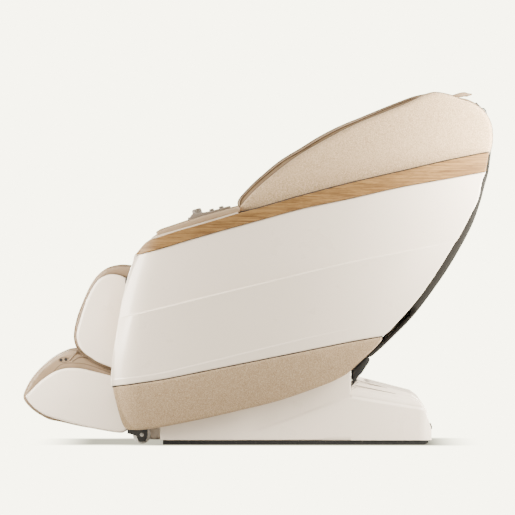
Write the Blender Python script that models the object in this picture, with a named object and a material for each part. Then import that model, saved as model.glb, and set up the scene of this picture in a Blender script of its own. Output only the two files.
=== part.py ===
"""Massage chair: a white and wood side shell on a low base, a reclining backrest with roller massage,
and a lifting legrest whose foot unit extends with it.

Constants are in millimetres and degrees; Blender's units are metres. +Z is up, the chair faces -Y, and +X is
the sitter's left. The origin is on the floor, under the middle of the chair. Side outlines are (y, z) points.
"""

import math

import bmesh
import bpy
from mathutils import Matrix, Vector

MM = 0.001
GAP = 0.4  # between pieces that rest on each other
BOTH_SIDES = (("left", 1), ("right", -1))

# Widths, measured from the middle plane
SHELL_HALF = 390  # side panels at their widest
SHELL_FACE = 350  # flat inner plane of panels, trims and skirts
TRIM_GAP = 1  # between panel and trim
PANEL_WALL, THINNEST_RIM = 5, 8
WING_IN, WING_OUT = 300, 345
LINER_IN, LINER_OUT = 262, 299
ARM_IN, ARM_OUT = 266, 349.5
SEAT_HALF = 249
BACK_HALF = 255
PLATE_IN, PLATE_OUT = 251, 259  # seat frame side plates
LEG_HALF, LEG_PAD_HALF = 250, 229
BASE_HALF, BASE_WALL = 330, 18

# Joint axes, all along X
TILT_AXIS = (290, 215)
RECLINE_AXIS = (260, 330)
KNEE_AXIS = (-412, 540)
PILLOW_AXIS = (596, 1113)
CASTER_AXIS = (-382, 32)
PIN_R, PIN_PLAY = 10, 0.6
CASTER_R = 30
RAM_R = 12

# Side outlines of the shell
TRIM_LOWER = [(-407, 625), (-189, 688), (141, 779), (471, 851), (755, 903)]
TRIM_UPPER = [(-400, 634), (-354, 678), (-189, 728), (141, 822), (471, 903), (765, 967)]
PANEL_LOWER = [(-481, 194), (-24, 276), (417, 361)]
PANEL_FRONT = [(-481, 194), (-484, 223), (-469, 348), (-446, 480), (-407, 625)]
PANEL_REAR = [(417, 361), (537, 490), (669, 691), (729, 810), (755, 903)]
SKIRT_UPPER = [(-478, 192), (-24, 273), (413, 357)]
SKIRT_LOWER = [(-433, 51), (-354, 54), (-189, 84), (9, 129), (207, 193), (313, 249)]
SKIRT_FRONT = [(-433, 51), (-453, 91), (-469, 150), (-478, 192)]
SKIRT_REAR = [(313, 249), (385, 317), (413, 357)]
ARM_TOP = [(-338, 690), (-62, 772)]
ARM_PAD_TOP = [(-340, 697), (-327, 708), (-189, 751), (-62, 789)]
WING_TOP = [(-58, 786), (9, 863), (141, 969), (306, 1063), (471, 1127), (587, 1165), (669, 1145), (751, 1101),
            (777, 1041)]
WING_BOTTOM = [(766, 972), (750, 964), (738, 906), (640, 885), (471, 852), (306, 812), (141, 772), (9, 754),
               (-36, 762), (-60, 776)]
LINER_TOP = [(-66, 800), (-57, 817), (9, 884), (141, 980), (339, 1079), (471, 1132), (587, 1158), (669, 1138),
             (733, 1096), (751, 1040), (747, 975)]
LINER_BOTTOM = [(735, 940), (420, 545), (250, 455), (150, 440), (90, 520), (-58, 775)]
ARM_CORE = [(-362, 666), (-396, 610), (-438, 480), (-460, 348), (-466, 305), (60, 330), (105, 440), (72, 525),
            (-68, 758)]
SEAT_PAD_FACE = [(-356, 490), (-354, 540), (-330, 561), (-240, 558), (-100, 520), (40, 468), (100, 436),
                 (150, 412), (225, 398)]
SEAT_PAD_UNDER = [(225, 384), (60, 396), (-100, 430), (-330, 462), (-352, 468)]
BACK_PAD_FACE = [(126, 468), (190, 570), (350, 770), (520, 999), (590, 1094), (625, 1134), (662, 1148),
                 (705, 1136), (732, 1116), (748, 1094)]
BACK_CURVE = [(372, 289), (405, 318), (504, 421), (603, 549), (702, 718), (752, 856), (770, 940), (776, 1010),
              (772, 1060), (758, 1096)]

# The back's own line: s runs up the spine from SPINE_FOOT, t runs back from the cushion's face. PILLOW and
# MASSAGE_ARM are (s, t) points, the arm's from its own middle.
SPINE_FOOT = (105, 435)
SPINE_ANGLE = 53.75
CARRIAGE_S = 300
SHAFT_T = 125
ROLLER_S, ROLLER_T, ROLLER_R = 55, 102, 22
SHAFT_R, SMALL_PIN_R = 9, 5
PILLOW = [(834, -3), (834, -14), (815, -38), (785, -58), (690, -60), (650, -44), (640, -24), (648, -4)]
MASSAGE_ARM = [(66, 94), (66, 112), (20, 142), (-20, 142), (-66, 112), (-66, 94), (-30, 100), (0, 106),
               (30, 100)]

# Base
BASE_SIDE = [(-321, 15), (309, 15), (309, 248), (150, 203), (-60, 135), (-321, 72)]
HOOD_SIDE = [(310, 15), (577, 15), (577, 51), (570, 71), (560, 117), (537, 150), (514, 167), (334, 214),
             (310, 188)]
HOOD_HOLLOW = [(302, 0), (565, 0), (565, 60), (550, 110), (530, 138), (510, 155), (340, 198), (324, 178),
               (302, 178)]
CASTER_CHEEK = [(-430, 70), (-430, 36), (-400, 29), (-393, 9), (-371, 9), (-363, 30), (-363, 70)]

# Legrest
CALF_EDGE = [(-412, 588), (-463, 591), (-509, 577), (-545, 540), (-575, 480), (-601, 408), (-609, 355),
             (-606, 332), (-596, 315), (-575, 294), (-529, 272), (-483, 254), (-430, 240), (-405, 236)]
CALF_COVER = [(-437, 552), (-463, 560), (-509, 558), (-545, 531), (-572, 477), (-601, 395), (-606, 350),
              (-596, 316), (-575, 296), (-529, 274), (-483, 256), (-430, 242)]
CALF_WELL = [(-474, 620), (-640, 620), (-640, 220), (-455, 220)]
TOE_EDGE = [(-428, 232), (-483, 247), (-529, 265), (-575, 287), (-590, 299), (-603, 312), (-651, 299),
            (-717, 254), (-760, 200), (-777, 157), (-760, 131), (-717, 96), (-651, 74), (-519, 50),
            (-428, 40)]
TOE_COVER = [(-432, 222), (-486, 228), (-552, 244), (-611, 253), (-661, 245), (-717, 211), (-768, 156),
             (-741, 116), (-690, 86), (-585, 61), (-432, 42)]
FOOT_WELL = [(-452, 330), (-592, 330), (-600, 296), (-650, 274), (-702, 234), (-732, 192), (-735, 162),
             (-690, 128), (-560, 106), (-452, 98)]
FOOT_ROD = (-384, 120)  # y, and distance from the middle

PAINTS = {
    "gloss_white": ((0.80, 0.78, 0.75), 0.25, 0.0),
    "wood": ((0.62, 0.40, 0.22), 0.5, 0.0),
    "fabric": ((0.60, 0.50, 0.38), 0.95, 0.0),
    "leather": ((0.52, 0.43, 0.35), 0.6, 0.0),
    "dark_plastic": ((0.09, 0.085, 0.08), 0.5, 0.0),
    "black_plastic": ((0.02, 0.02, 0.02), 0.5, 0.0),
    "rubber": ((0.03, 0.03, 0.03), 0.9, 0.0),
    "steel": ((0.25, 0.25, 0.26), 0.45, 1.0),
    "wheel_grey": ((0.45, 0.43, 0.40), 0.6, 0.0),
}
bodies = {}


def clear_scene():
    for obj in list(bpy.data.objects):
        bpy.data.objects.remove(obj)


def paint(name):
    """The material of that name, made on first use."""
    if name not in bpy.data.materials:
        material = bpy.data.materials.new(name)
        material.use_nodes = True
        colour, roughness, metallic = PAINTS[name]
        shader = material.node_tree.nodes["Principled BSDF"]
        shader.inputs["Base Color"].default_value = (*colour, 1)
        shader.inputs["Roughness"].default_value = roughness
        shader.inputs["Metallic"].default_value = metallic
    return bpy.data.materials[name]


def body(name, parent=None, axis=(0, 0), x=0):
    """An empty on the body's joint axis, which the body's pieces are parented to."""
    empty = bpy.data.objects.new("body_" + name, None)
    bpy.context.scene.collection.objects.link(empty)
    place = Vector((x, axis[0], axis[1])) * MM
    above = bodies[parent]["place"] if parent else Vector((0, 0, 0))
    empty.parent = bodies[parent]["empty"] if parent else None
    empty.location = place - above
    bodies[name] = {"empty": empty, "place": place}


def add(name, bm, body_name, paint_name):
    """Turns a bmesh in millimetres, in the chair's frame, into a named piece of a body."""
    bmesh.ops.recalc_face_normals(bm, faces=bm.faces)
    place = bodies[body_name]["place"]
    bmesh.ops.transform(bm, matrix=Matrix.Translation(-place) @ Matrix.Scale(MM, 4), verts=bm.verts)
    mesh = bpy.data.meshes.new(name)
    bm.to_mesh(mesh)
    bm.free()
    obj = bpy.data.objects.new(name, mesh)
    bpy.context.scene.collection.objects.link(obj)
    obj.parent = bodies[body_name]["empty"]
    mesh.materials.append(paint(paint_name))
    mesh.shade_smooth()
    mesh.set_sharp_from_angle(angle=math.radians(35))
    return obj


def bevel(obj, width, segments=1):
    modifier = obj.modifiers.new("Bevel", "BEVEL")
    modifier.width = width * MM
    modifier.segments = segments
    modifier.angle_limit = math.radians(40)
    return obj


def spline(points, steps):
    """steps + 1 points at even distances along a smooth curve through the given points."""
    ends = [points[0], *points, points[-1]]
    fine = []
    for a, b, c, d in zip(ends, ends[1:], ends[2:], ends[3:]):
        a, b, c, d = Vector(a), Vector(b), Vector(c), Vector(d)
        for k in range(12):
            t = k / 12
            fine.append(0.5 * (2 * b + (c - a) * t + (2 * a - 5 * b + 4 * c - d) * t * t
                               + (3 * b - 3 * c + d - a) * t ** 3))
    fine.append(Vector(points[-1]))
    lengths = [0]
    for p, q in zip(fine, fine[1:]):
        lengths.append(lengths[-1] + (q - p).length)
    made, k = [], 0
    for step in range(steps + 1):
        want = lengths[-1] * step / steps
        while k < len(fine) - 2 and lengths[k + 1] < want:
            k += 1
        share = (want - lengths[k]) / max(lengths[k + 1] - lengths[k], 1e-9)
        made.append(fine[k].lerp(fine[k + 1], min(share, 1)))
    return made


def arc(centre, radius, start, end, steps):
    """Points on an arc, with angles in degrees from +Y towards +Z."""
    angles = [math.radians(start + (end - start) * k / steps) for k in range(steps + 1)]
    return [(centre[0] + radius * math.cos(a), centre[1] + radius * math.sin(a)) for a in angles]


def spine(s, t):
    """The (y, z) point s up the spine and t behind the cushion's face."""
    a = math.radians(SPINE_ANGLE)
    along, behind = math.cos(a), math.sin(a)
    return (SPINE_FOOT[0] + s * along + t * behind, SPINE_FOOT[1] + s * behind - t * along)


def prism(outline, x0, x1, bm=None):
    """A side outline extruded across the chair from x0 to x1."""
    bm = bm or bmesh.new()
    face = bm.faces.new([bm.verts.new((x0, p[0], p[1])) for p in outline])
    moved = bmesh.ops.extrude_face_region(bm, geom=[face])["geom"]
    far = [v for v in moved if isinstance(v, bmesh.types.BMVert)]
    bmesh.ops.translate(bm, vec=(x1 - x0, 0, 0), verts=far)
    return bm


def box(x0, x1, y0, y1, z0, z1, bm=None):
    return prism([(y0, z0), (y1, z0), (y1, z1), (y0, z1)], x0, x1, bm)


def disc(centre, radius, x0, x1, sides=24, bm=None):
    """A round bar across the chair."""
    return prism(arc(centre, radius, 0, 360 * (sides - 1) / sides, sides - 1), x0, x1, bm)


def rod(start, end, radius, sides=16, bm=None):
    """A round bar between two (x, y, z) points."""
    bm = bm or bmesh.new()
    start, end = Vector(start), Vector(end)
    turn = (end - start).to_track_quat("Z", "Y").to_matrix().to_4x4()
    bmesh.ops.create_cone(bm, cap_ends=True, segments=sides, radius1=radius, radius2=radius,
                          depth=(end - start).length, matrix=Matrix.Translation((start + end) / 2) @ turn)
    return bm


def combine(first, others, operation):
    """first joined with, or cut by, each of the other bmeshes, through Boolean modifiers."""
    base = helper(first)
    for other in others:
        tool = helper(other)
        modifier = base.modifiers.new("Boolean", "BOOLEAN")
        modifier.operation = operation
        modifier.object = tool
    bpy.context.view_layer.update()
    made = bmesh.new()
    made.from_object(base, bpy.context.evaluated_depsgraph_get())
    for modifier in list(base.modifiers):
        bpy.data.objects.remove(modifier.object)
    bpy.data.objects.remove(base)
    bmesh.ops.scale(made, vec=(1 / MM, 1 / MM, 1 / MM), verts=made.verts)
    return made


def helper(bm):
    """A bmesh as an object in metres, for a Boolean."""
    bmesh.ops.recalc_face_normals(bm, faces=bm.faces)
    bmesh.ops.scale(bm, vec=(MM, MM, MM), verts=bm.verts)
    mesh = bpy.data.meshes.new("helper")
    bm.to_mesh(mesh)
    bm.free()
    obj = bpy.data.objects.new("helper", mesh)
    bpy.context.scene.collection.objects.link(obj)
    return obj


def union(first, *others):
    return combine(first, others, "UNION")


def cut(first, *others):
    return combine(first, others, "DIFFERENCE")


def patch(lower, upper, front, rear, shares_u, shares_v):
    """Grid of (y, z) points between four edge curves: u runs front to rear, v from lower to upper."""
    fine = 96
    edges = [spline(c, fine) for c in (lower, upper, front, rear)]

    def at(edge, share):
        place = share * fine
        k = min(int(place), fine - 1)
        return edges[edge][k].lerp(edges[edge][k + 1], place - k)

    grid = []
    for u in shares_u:
        row = []
        for v in shares_v:
            ruled_v = at(0, u).lerp(at(1, u), v)
            ruled_u = at(2, v).lerp(at(3, v), u)
            corners = at(0, 0).lerp(at(0, 1), u).lerp(at(1, 0).lerp(at(1, 1), u), v)
            row.append(ruled_v + ruled_u - corners)
        grid.append(row)
    return grid


def shell_x(y, from_front, from_rear, v):
    """Outer face of the side shell: rounded at the front, drawn in towards the rear, top and bottom."""
    front = 34 * (1 - min(from_front / 95, 1)) ** 2
    rear = 25 * (1 - min(from_rear / 460, 1)) ** 2
    crown = 7 * (2 * v - 1) ** 2
    return max(SHELL_HALF - front - rear - crown, SHELL_FACE + THINNEST_RIM)


def skin(grid, side, outer, inner):
    """A closed plate over a grid; outer(i, j) and inner(i, j) are its faces' distances from the middle."""
    bm = bmesh.new()
    nu, nv = len(grid), len(grid[0])
    faces = []
    for distance in (outer, inner):
        faces.append([[bm.verts.new((side * distance(i, j), grid[i][j][0], grid[i][j][1])) for j in range(nv)]
                      for i in range(nu)])
    for layer in faces:
        for i in range(nu - 1):
            for j in range(nv - 1):
                bm.faces.new((layer[i][j], layer[i + 1][j], layer[i + 1][j + 1], layer[i][j + 1]))
    rim = ([(i, 0) for i in range(nu - 1)] + [(nu - 1, j) for j in range(nv - 1)]
           + [(i, nv - 1) for i in range(nu - 1, 0, -1)] + [(0, j) for j in range(nv - 1, 0, -1)])
    for a, b in zip(rim, rim[1:] + rim[:1]):
        bm.faces.new((faces[0][a[0]][a[1]], faces[0][b[0]][b[1]], faces[1][b[0]][b[1]], faces[1][a[0]][a[1]]))
    return bm


def ribbon(face, thickness, half_widths):
    """A pad or skin of varying width: face is its front curve, and thickness goes behind it at each point."""
    bm = bmesh.new()
    rings = []
    for k, p in enumerate(face):
        before, after = face[max(k - 1, 0)], face[min(k + 1, len(face) - 1)]
        along = (Vector(after) - Vector(before)).normalized()
        back = Vector(p) + Vector((along[1], -along[0])) * thickness[k]
        w = half_widths[k]
        rings.append([bm.verts.new(c) for c in ((-w, *p), (w, *p), (w, *back), (-w, *back))])
    for a, b in zip(rings, rings[1:]):
        for k in range(4):
            bm.faces.new((a[k], a[(k + 1) % 4], b[(k + 1) % 4], b[k]))
    bm.faces.new(rings[0])
    bm.faces.new(rings[-1])
    return bm


# ---- Base ----


def build_base():
    nose = box(-258, 258, -360, -300, 15, 62)
    shell = union(prism(BASE_SIDE, -BASE_HALF, BASE_HALF), nose)
    inner = BASE_HALF - BASE_WALL
    shell = cut(shell, box(-inner, inner, -303, 330, 0, 400), box(-250, 250, -352, -290, 0, 54))
    add("base_shell", shell, "base", "gloss_white")

    hollow = prism(HOOD_HOLLOW, -BASE_HALF + 10, BASE_HALF - 10)
    hood = cut(prism(HOOD_SIDE, -BASE_HALF, BASE_HALF), hollow, box(-63, 63, 550, 600, 35, 64))
    add("base_rear_hood", hood, "base", "gloss_white")

    parts = [box(-243, 243, y, y + 36, 22, 50) for y in (-298, 0, 250)]
    for name, side in BOTH_SIDES:
        parts.append(box(side * 242, side * 278, -300, 300, 18, 56))
        parts.append(box(side * 248, side * 272, -290, 290, 50, 76))
        strip = prism([(-312, 0), (552, 0), (566, 7), (566, 14.6), (-312, 14.6)], side * 300, side * 328)
        add("floor_strip_" + name, strip, "base", "rubber")
    add("base_frame", union(parts[0], *parts[1:]), "base", "steel")
    bevel(add("control_box", box(-200, 120, 350, 500, 20, 110), "base", "black_plastic"), 4)
    actuator = union(box(-40, 40, -150, -40, 60, 110), rod((0, -50, 85), (0, 20, 85), 18))
    ram_bore = rod((0, -146, 85), (0, 40, 85), RAM_R + PIN_PLAY)
    add("slide_actuator", cut(actuator, ram_bore), "base", "black_plastic")
    build_casters()
    build_power_inlet()


def build_casters():
    for name, side in BOTH_SIDES:
        fork = union(prism(CASTER_CHEEK, side * 255, side * 260), prism(CASTER_CHEEK, side * 286, side * 291),
                     box(side * 256, side * 290, -428, -321.5, 64, 71),
                     disc(CASTER_AXIS, SMALL_PIN_R, side * 257, side * 289, 16))
        add("caster_bracket_" + name, fork, "base", "black_plastic")
        body("caster_" + name, "base", CASTER_AXIS, side * 273)
        bore = disc(CASTER_AXIS, SMALL_PIN_R + PIN_PLAY, side * 250, side * 300, 16)
        wheel = cut(disc(CASTER_AXIS, CASTER_R, side * 262, side * 284), bore)
        add("caster_wheel_" + name, wheel, "caster_" + name, "wheel_grey")


def build_power_inlet():
    body("power_switch", "base", (579, 49.5), 37)
    openings = [box(x0, x1, 572, 600, 42, 57) for x0, x1 in ((-52, -14), (22, 52))]
    block = cut(box(-60, 60, 566, 581, 38, 61), *openings)
    add("power_inlet", block, "base", "black_plastic")
    rocker = bmesh.new()
    outline = [(24, 575), (37, 573), (50, 575), (50, 581), (37, 584), (24, 581)]
    face = rocker.faces.new([rocker.verts.new((x, y, 43.5)) for x, y in outline])
    moved = bmesh.ops.extrude_face_region(rocker, geom=[face])["geom"]
    bmesh.ops.translate(rocker, vec=(0, 0, 12), verts=[v for v in moved if isinstance(v, bmesh.types.BMVert)])
    add("power_switch", rocker, "power_switch", "black_plastic")


def build_carriage():
    parts = []
    for _, side in BOTH_SIDES:
        parts.append(box(side * 246, side * 274, -195, 300, 76.4, 98))
        parts.append(union(prism([(262, 90), (306, 90), (310, 215), (272, 215)], side * 262, side * 284),
                           disc(TILT_AXIS, 22, side * 262, side * 284)))
        parts.append(box(side * 232, side * 248.5, -195, -155, 90, 384))
        parts.append(box(side * 230, side * 262, -195, -155, 376, 385.5))
        parts.append(disc(TILT_AXIS, PIN_R, side * 250, side * 270))
    parts.append(box(-250, 250, -190, -160, 78, 96))
    parts.append(box(-250, 250, 180, 210, 78, 96))
    parts.append(box(-20, 20, 130, 185, 71, 99))
    parts.append(rod((0, -40, 85), (0, 140, 85), RAM_R))
    add("seat_carriage", union(parts[0], *parts[1:]), "carriage", "steel")


# ---- Seat and side shell ----


def build_seat_frame():
    plate = [*arc(KNEE_AXIS, 26, 220, 0, 8), (-372, 500), (-350, 458), (-100, 426), (60, 396), (235, 385),
             *arc(RECLINE_AXIS, 30, 100, -40, 5), (306, 240), *arc(TILT_AXIS, 24, 10, -150, 5), (232, 300),
             (200, 345), (60, 352), (-100, 382), (-340, 400), (-400, 440)]
    parts = []
    for _, side in BOTH_SIDES:
        one = cut(prism(plate, side * PLATE_IN, side * PLATE_OUT),
                  disc(KNEE_AXIS, PIN_R + PIN_PLAY, side * 240, side * 270),
                  disc(RECLINE_AXIS, PIN_R + PIN_PLAY, side * 240, side * 270),
                  disc(TILT_AXIS, PIN_R + PIN_PLAY, side * 240, side * 270))
        parts.append(one)
        for y in (-300, 100):
            parts.append(box(side * PLATE_IN, side * PLATE_OUT, y, y + 40, 250, 400))
            parts.append(box(side * (PLATE_OUT - 4), side * (SHELL_FACE - GAP), y, y + 40, 252, 290))
    for y, z in ((-335, 415), (-130, 392), (120, 358)):
        parts.append(box(-PLATE_IN - 4, PLATE_IN + 4, y, y + 30, z, z + 24))
    add("seat_frame", union(parts[0], *parts[1:]), "seat", "steel")
    motor = union(disc(RECLINE_AXIS, 28, 120, 212), box(60, 180, 151, 240, 306, 352))
    add("recline_gearmotor", motor, "seat", "black_plastic")


def build_side_shell():
    us = [0, 0.012, 0.04, 0.08, 0.13, 0.2, 0.3, 0.4, 0.5, 0.6, 0.7, 0.8, 0.9, 0.985, 1]
    vs = [0, 0.03, 0.25, 0.5, 0.75, 0.97, 1]
    panel = patch(PANEL_LOWER, TRIM_LOWER, PANEL_FRONT, PANEL_REAR, us, vs)
    trim_lower = [(y, z + TRIM_GAP) for y, z in TRIM_LOWER]
    trim_ends = [[trim_lower[k], TRIM_UPPER[k]] for k in (0, -1)]
    trim = patch(trim_lower, TRIM_UPPER, *trim_ends, us, [0, 0.5, 1])
    skirt = patch(SKIRT_LOWER, SKIRT_UPPER, SKIRT_FRONT, SKIRT_REAR, us, [0, 0.04, 0.3, 0.6, 0.96, 1])
    for name, side in BOTH_SIDES:
        add_plate("side_panel_" + name, panel, side, us, vs, "gloss_white", hollow=True)
        add_plate("wood_trim_" + name, trim, side, us, [1] * 3, "wood", proud=5)
        crown = [0, 0.1, 0.3, 0.3, 0.3, 0.3]
        add_plate("lower_skirt_" + name, skirt, side, us, crown, "fabric", hollow=True, proud=-4)


def add_plate(name, grid, side, us, vs, paint_name, hollow=False, proud=0):
    """One side shell piece; a hollow one is a thin skin whose rim comes in to the shell's inner plane."""
    last_u, last_v = len(grid) - 1, len(grid[0]) - 1

    def outer(i, j):
        y = grid[i][j][0]
        return proud + shell_x(y, y - grid[0][j][0], grid[last_u][j][0] - y, vs[j])

    def inner(i, j):
        rim = i in (0, 1, last_u - 1, last_u) or j in (0, last_v)
        return SHELL_FACE if rim or not hollow else max(outer(i, j) - PANEL_WALL, SHELL_FACE)

    add(name, skin(grid, side, outer, inner), "seat", paint_name)


def build_arms():
    core = [*[(y, z - GAP) for y, z in reversed(ARM_TOP)], *ARM_CORE]
    for name, side in BOTH_SIDES:
        bevel(add("arm_core_" + name, prism(core, side * ARM_IN, side * ARM_OUT), "seat", "leather"), 6)
        pad = prism([*ARM_PAD_TOP, *reversed(ARM_TOP)], side * 264, side * 374)
        bevel(add("armrest_pad_" + name, pad, "seat", "leather"), 3)
    outline = [*spline(SEAT_PAD_FACE, 14), *SEAT_PAD_UNDER]
    bevel(add("seat_cushion", prism(outline, -SEAT_HALF, SEAT_HALF), "seat", "leather"), 8, 2)


ARM_SLOPE = 16.5
DIAL_FOOT = (-196, 760)
KEY_FEET = [(-150, 772.5), (-118, 781.5)]


def arm_normal():
    """Unit (y, z) square to the armrest's top."""
    return Vector((-math.sin(math.radians(ARM_SLOPE)), math.cos(math.radians(ARM_SLOPE))))


def control_rod(foot, radius, start, end, sides):
    n = arm_normal()
    a, b = Vector(foot) + n * start, Vector(foot) + n * end
    return rod((317, *a), (317, *b), radius, sides)


def build_controls():
    pod = prism([(-226, 741.5), (-189, 752.5), (-88, 782.5), (-90, 790), (-174, 765), (-222, 751)], 287, 347)
    wells = [control_rod(DIAL_FOOT, 9, -3, 30, 16)]
    wells += [control_rod(foot, 9, -2, 30, 16) for foot in KEY_FEET]
    add("control_pod", cut(pod, *wells), "seat", "dark_plastic")
    n = arm_normal()
    body("control_dial", "seat", DIAL_FOOT, 317)
    dial = union(control_rod(DIAL_FOOT, 15, 4.5, 20, 24), control_rod(DIAL_FOOT, 8, -2, 6, 16))
    add("control_dial", dial, "control_dial", "dark_plastic")
    for k, foot in enumerate(KEY_FEET, 1):
        body(f"key_{k}", "seat", foot, 317)
        add(f"control_key_{k}", control_rod(foot, 8, 0.6, 8, 16), f"key_{k}", "dark_plastic")


# ---- Backrest ----


def build_backrest():
    build_back_frame()
    build_back_shell()
    build_wings()
    face = spline(BACK_PAD_FACE, 22)
    thick = [62 if k < 17 else 62 - 8 * (k - 16) for k in range(23)]
    bevel(add("back_cushion", ribbon(face, thick, [BACK_HALF] * 23), "backrest", "leather"), 6, 1)
    cover = prism([(315, 247), (358, 288), (372, 278), (370, 268), (319, 201)], -225, 225)
    add("lower_back_cover", cover, "backrest", "black_plastic")
    strap = spline([(606, 1126), (643, 1158), (689, 1167), (716, 1162)], 6)
    add("pillow_strap", ribbon(strap, [6] * 7, [110] * 7), "backrest", "leather")
    body("head_pillow", "backrest", PILLOW_AXIS)
    pillow = prism([spine(s, t) for s, t in PILLOW], -150, 150)
    bevel(add("head_pillow", pillow, "head_pillow", "leather"), 6, 1)


def build_back_frame():
    beam = [spine(s, t) for s, t in ((845, 100), (845, 172), (60, 178), (60, 100))]
    hanger = [spine(90, 105), spine(90, 172), *arc(RECLINE_AXIS, 24, 0, -180, 6)]
    rail = [spine(s, t) for s, t in ((110, 112), (110, 128), (790, 128), (790, 112))]
    parts = []
    for _, side in BOTH_SIDES:
        parts.append(prism(beam, side * 216, side * 245))
        parts.append(prism(hanger, side * 228, side * 244))
        parts.append(disc(RECLINE_AXIS, PIN_R, side * 235, side * 260))
        parts.append(prism(rail, side * 201, side * 218))
    for s in (70, 800):
        parts.append(prism([spine(s, 130), spine(s, 160), spine(s + 30, 160), spine(s + 30, 130)], -220, 220))
    add("back_frame", union(parts[0], *parts[1:]), "backrest", "steel")


def build_back_shell():
    face = spline(BACK_CURVE, 20)
    inside = []
    for k, p in enumerate(face):
        along = (face[min(k + 1, 20)] - face[max(k - 1, 0)]).normalized()
        inside.append(p + Vector((-along[1], along[0])) * 12)
    widths = [296 if p[1] > 945 else min(max(240 + (p[1] - 330) * 0.9, 240), 343) for p in face]
    strip = ribbon(list(inside), [12] * 21, widths)
    cheek = [p for p in (f - Vector((3, 0)) for f in face) if 440 < p[1] < 880]
    cheek = [*cheek, (640, 860), (400, 790), (310, 700), (300, 500), (400, 415)]
    sides = [prism(cheek, side * 333, side * 342) for _, side in BOTH_SIDES]
    add("back_shell", union(strip, *sides), "backrest", "dark_plastic")


def build_wings():
    wing = [*spline(WING_TOP, 26), *WING_BOTTOM]
    liner = [*spline(LINER_TOP, 22), *LINER_BOTTOM]
    for name, side in BOTH_SIDES:
        outer = prism(wing, side * WING_IN, side * WING_OUT)
        bevel(add("shoulder_wing_" + name, outer, "backrest", "fabric"), 6, 1)
        inner = prism(liner, side * LINER_IN, side * LINER_OUT)
        bevel(add("wing_liner_" + name, inner, "backrest", "leather"), 6, 1)


def build_massage_unit():
    axis = spine(CARRIAGE_S, SHAFT_T)
    body("massage_carriage", "backrest", axis)

    def block(s0, s1, t0, t1, x0, x1):
        outline = [spine(CARRIAGE_S + s, t) for s, t in ((s0, t0), (s1, t0), (s1, t1), (s0, t1))]
        return prism(outline, x0, x1)

    parts = [block(-88, 88, 160, 172, -182, 182)]
    parts += [block(-60, 40, 168, 200, -110, -20), block(-40, 60, 168, 200, 20, 110)]
    for _, side in BOTH_SIDES:
        parts.append(block(-86, 86, 96, 165, side * 170, side * 184))
        parts.append(block(-21, 23, 103, 166, side * 41, side * 55))
        for s in (-84, 54):
            parts.append(block(s, s + 30, 100, 110, side * 180, side * 211))
            parts.append(block(s, s + 30, 130, 140, side * 180, side * 211))
        parts.append(disc(axis, SHAFT_R, side * 62, side * 177))
    frame = cut(union(parts[0], *parts[1:]), disc(axis, SHAFT_R + PIN_PLAY, -61, 61))
    add("massage_carriage", frame, "massage_carriage", "black_plastic")

    body("kneading_shaft", "massage_carriage", axis)
    shaft = union(disc(axis, SHAFT_R, -58, 58), disc(axis, 30, -12, 12))
    add("kneading_shaft", shaft, "kneading_shaft", "steel")
    for name, side in BOTH_SIDES:
        build_massage_arm(name, side, axis)


def build_massage_arm(name, side, axis):
    """A rocking arm on one of the carriage's pivots, with a roller at each end."""
    arm_body = "massage_arm_" + name
    body(arm_body, "massage_carriage", axis)
    ends = [spine(CARRIAGE_S + s, ROLLER_T) for s in (ROLLER_S, -ROLLER_S)]
    arm = [spine(CARRIAGE_S + s, t) for s, t in MASSAGE_ARM]
    pins = [disc(end, SMALL_PIN_R, side * 76, side * 112, 16) for end in ends]
    plate = union(prism(arm, side * 66, side * 78), *pins)
    bore = disc(axis, SHAFT_R + PIN_PLAY, side * 60, side * 90)
    add(arm_body, cut(plate, bore), arm_body, "black_plastic")
    for level, end in zip(("upper", "lower"), ends):
        body(f"roller_{level}_{name}", arm_body, end, side * 95)
        hole = disc(end, SMALL_PIN_R + PIN_PLAY, side * 70, side * 120, 16)
        wheel = cut(disc(end, ROLLER_R, side * 80, side * 110), hole)
        bevel(add(f"massage_roller_{level}_{name}", wheel, f"roller_{level}_{name}", "wheel_grey"), 5)


# ---- Legrest and foot unit ----

def build_legrest():
    roll = arc(KNEE_AXIS, 48, -90, 80, 8)
    edge = [*roll, *spline(CALF_EDGE, 22)]
    channels = []
    for _, side in BOTH_SIDES:
        channels.append(prism(CALF_WELL, side * 36, side * 182))
    cushion = prism(edge, -LEG_PAD_HALF + 1, LEG_PAD_HALF - 1)
    add("calf_cushion", cut(cushion, *channels), "legrest", "leather")
    for name, side in BOTH_SIDES:
        cover = prism(spline(CALF_COVER, 20), side * LEG_PAD_HALF, side * LEG_HALF)
        bevel(add("calf_cover_" + name, cover, "legrest", "gloss_white"), 6, 1)
    hook = [*arc(KNEE_AXIS, 22, 180, 0, 8), (-396, 480), (-429, 480)]
    rod_y, rod_x = FOOT_ROD
    parts = [box(-LEG_HALF + 1, LEG_HALF - 1, -404, -396, 244, 486)]
    sleeves = []
    for _, side in BOTH_SIDES:
        parts.append(box(side * LEG_PAD_HALF, side * (LEG_HALF - 1), -429, -398, 244, 500))
        parts.append(prism(hook, side * LEG_PAD_HALF, side * (LEG_HALF - 1)))
        parts.append(disc(KNEE_AXIS, PIN_R, side * 240, side * 260))
        for z in (300, 430):
            parts.append(box(side * 104, side * 136, -400, -368, z, z + 34))
        sleeves.append(rod((side * rod_x, rod_y, 280), (side * rod_x, rod_y, 480), 9.7))
    add("legrest_frame", cut(union(parts[0], *parts[1:]), *sleeves), "legrest", "black_plastic")


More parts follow.
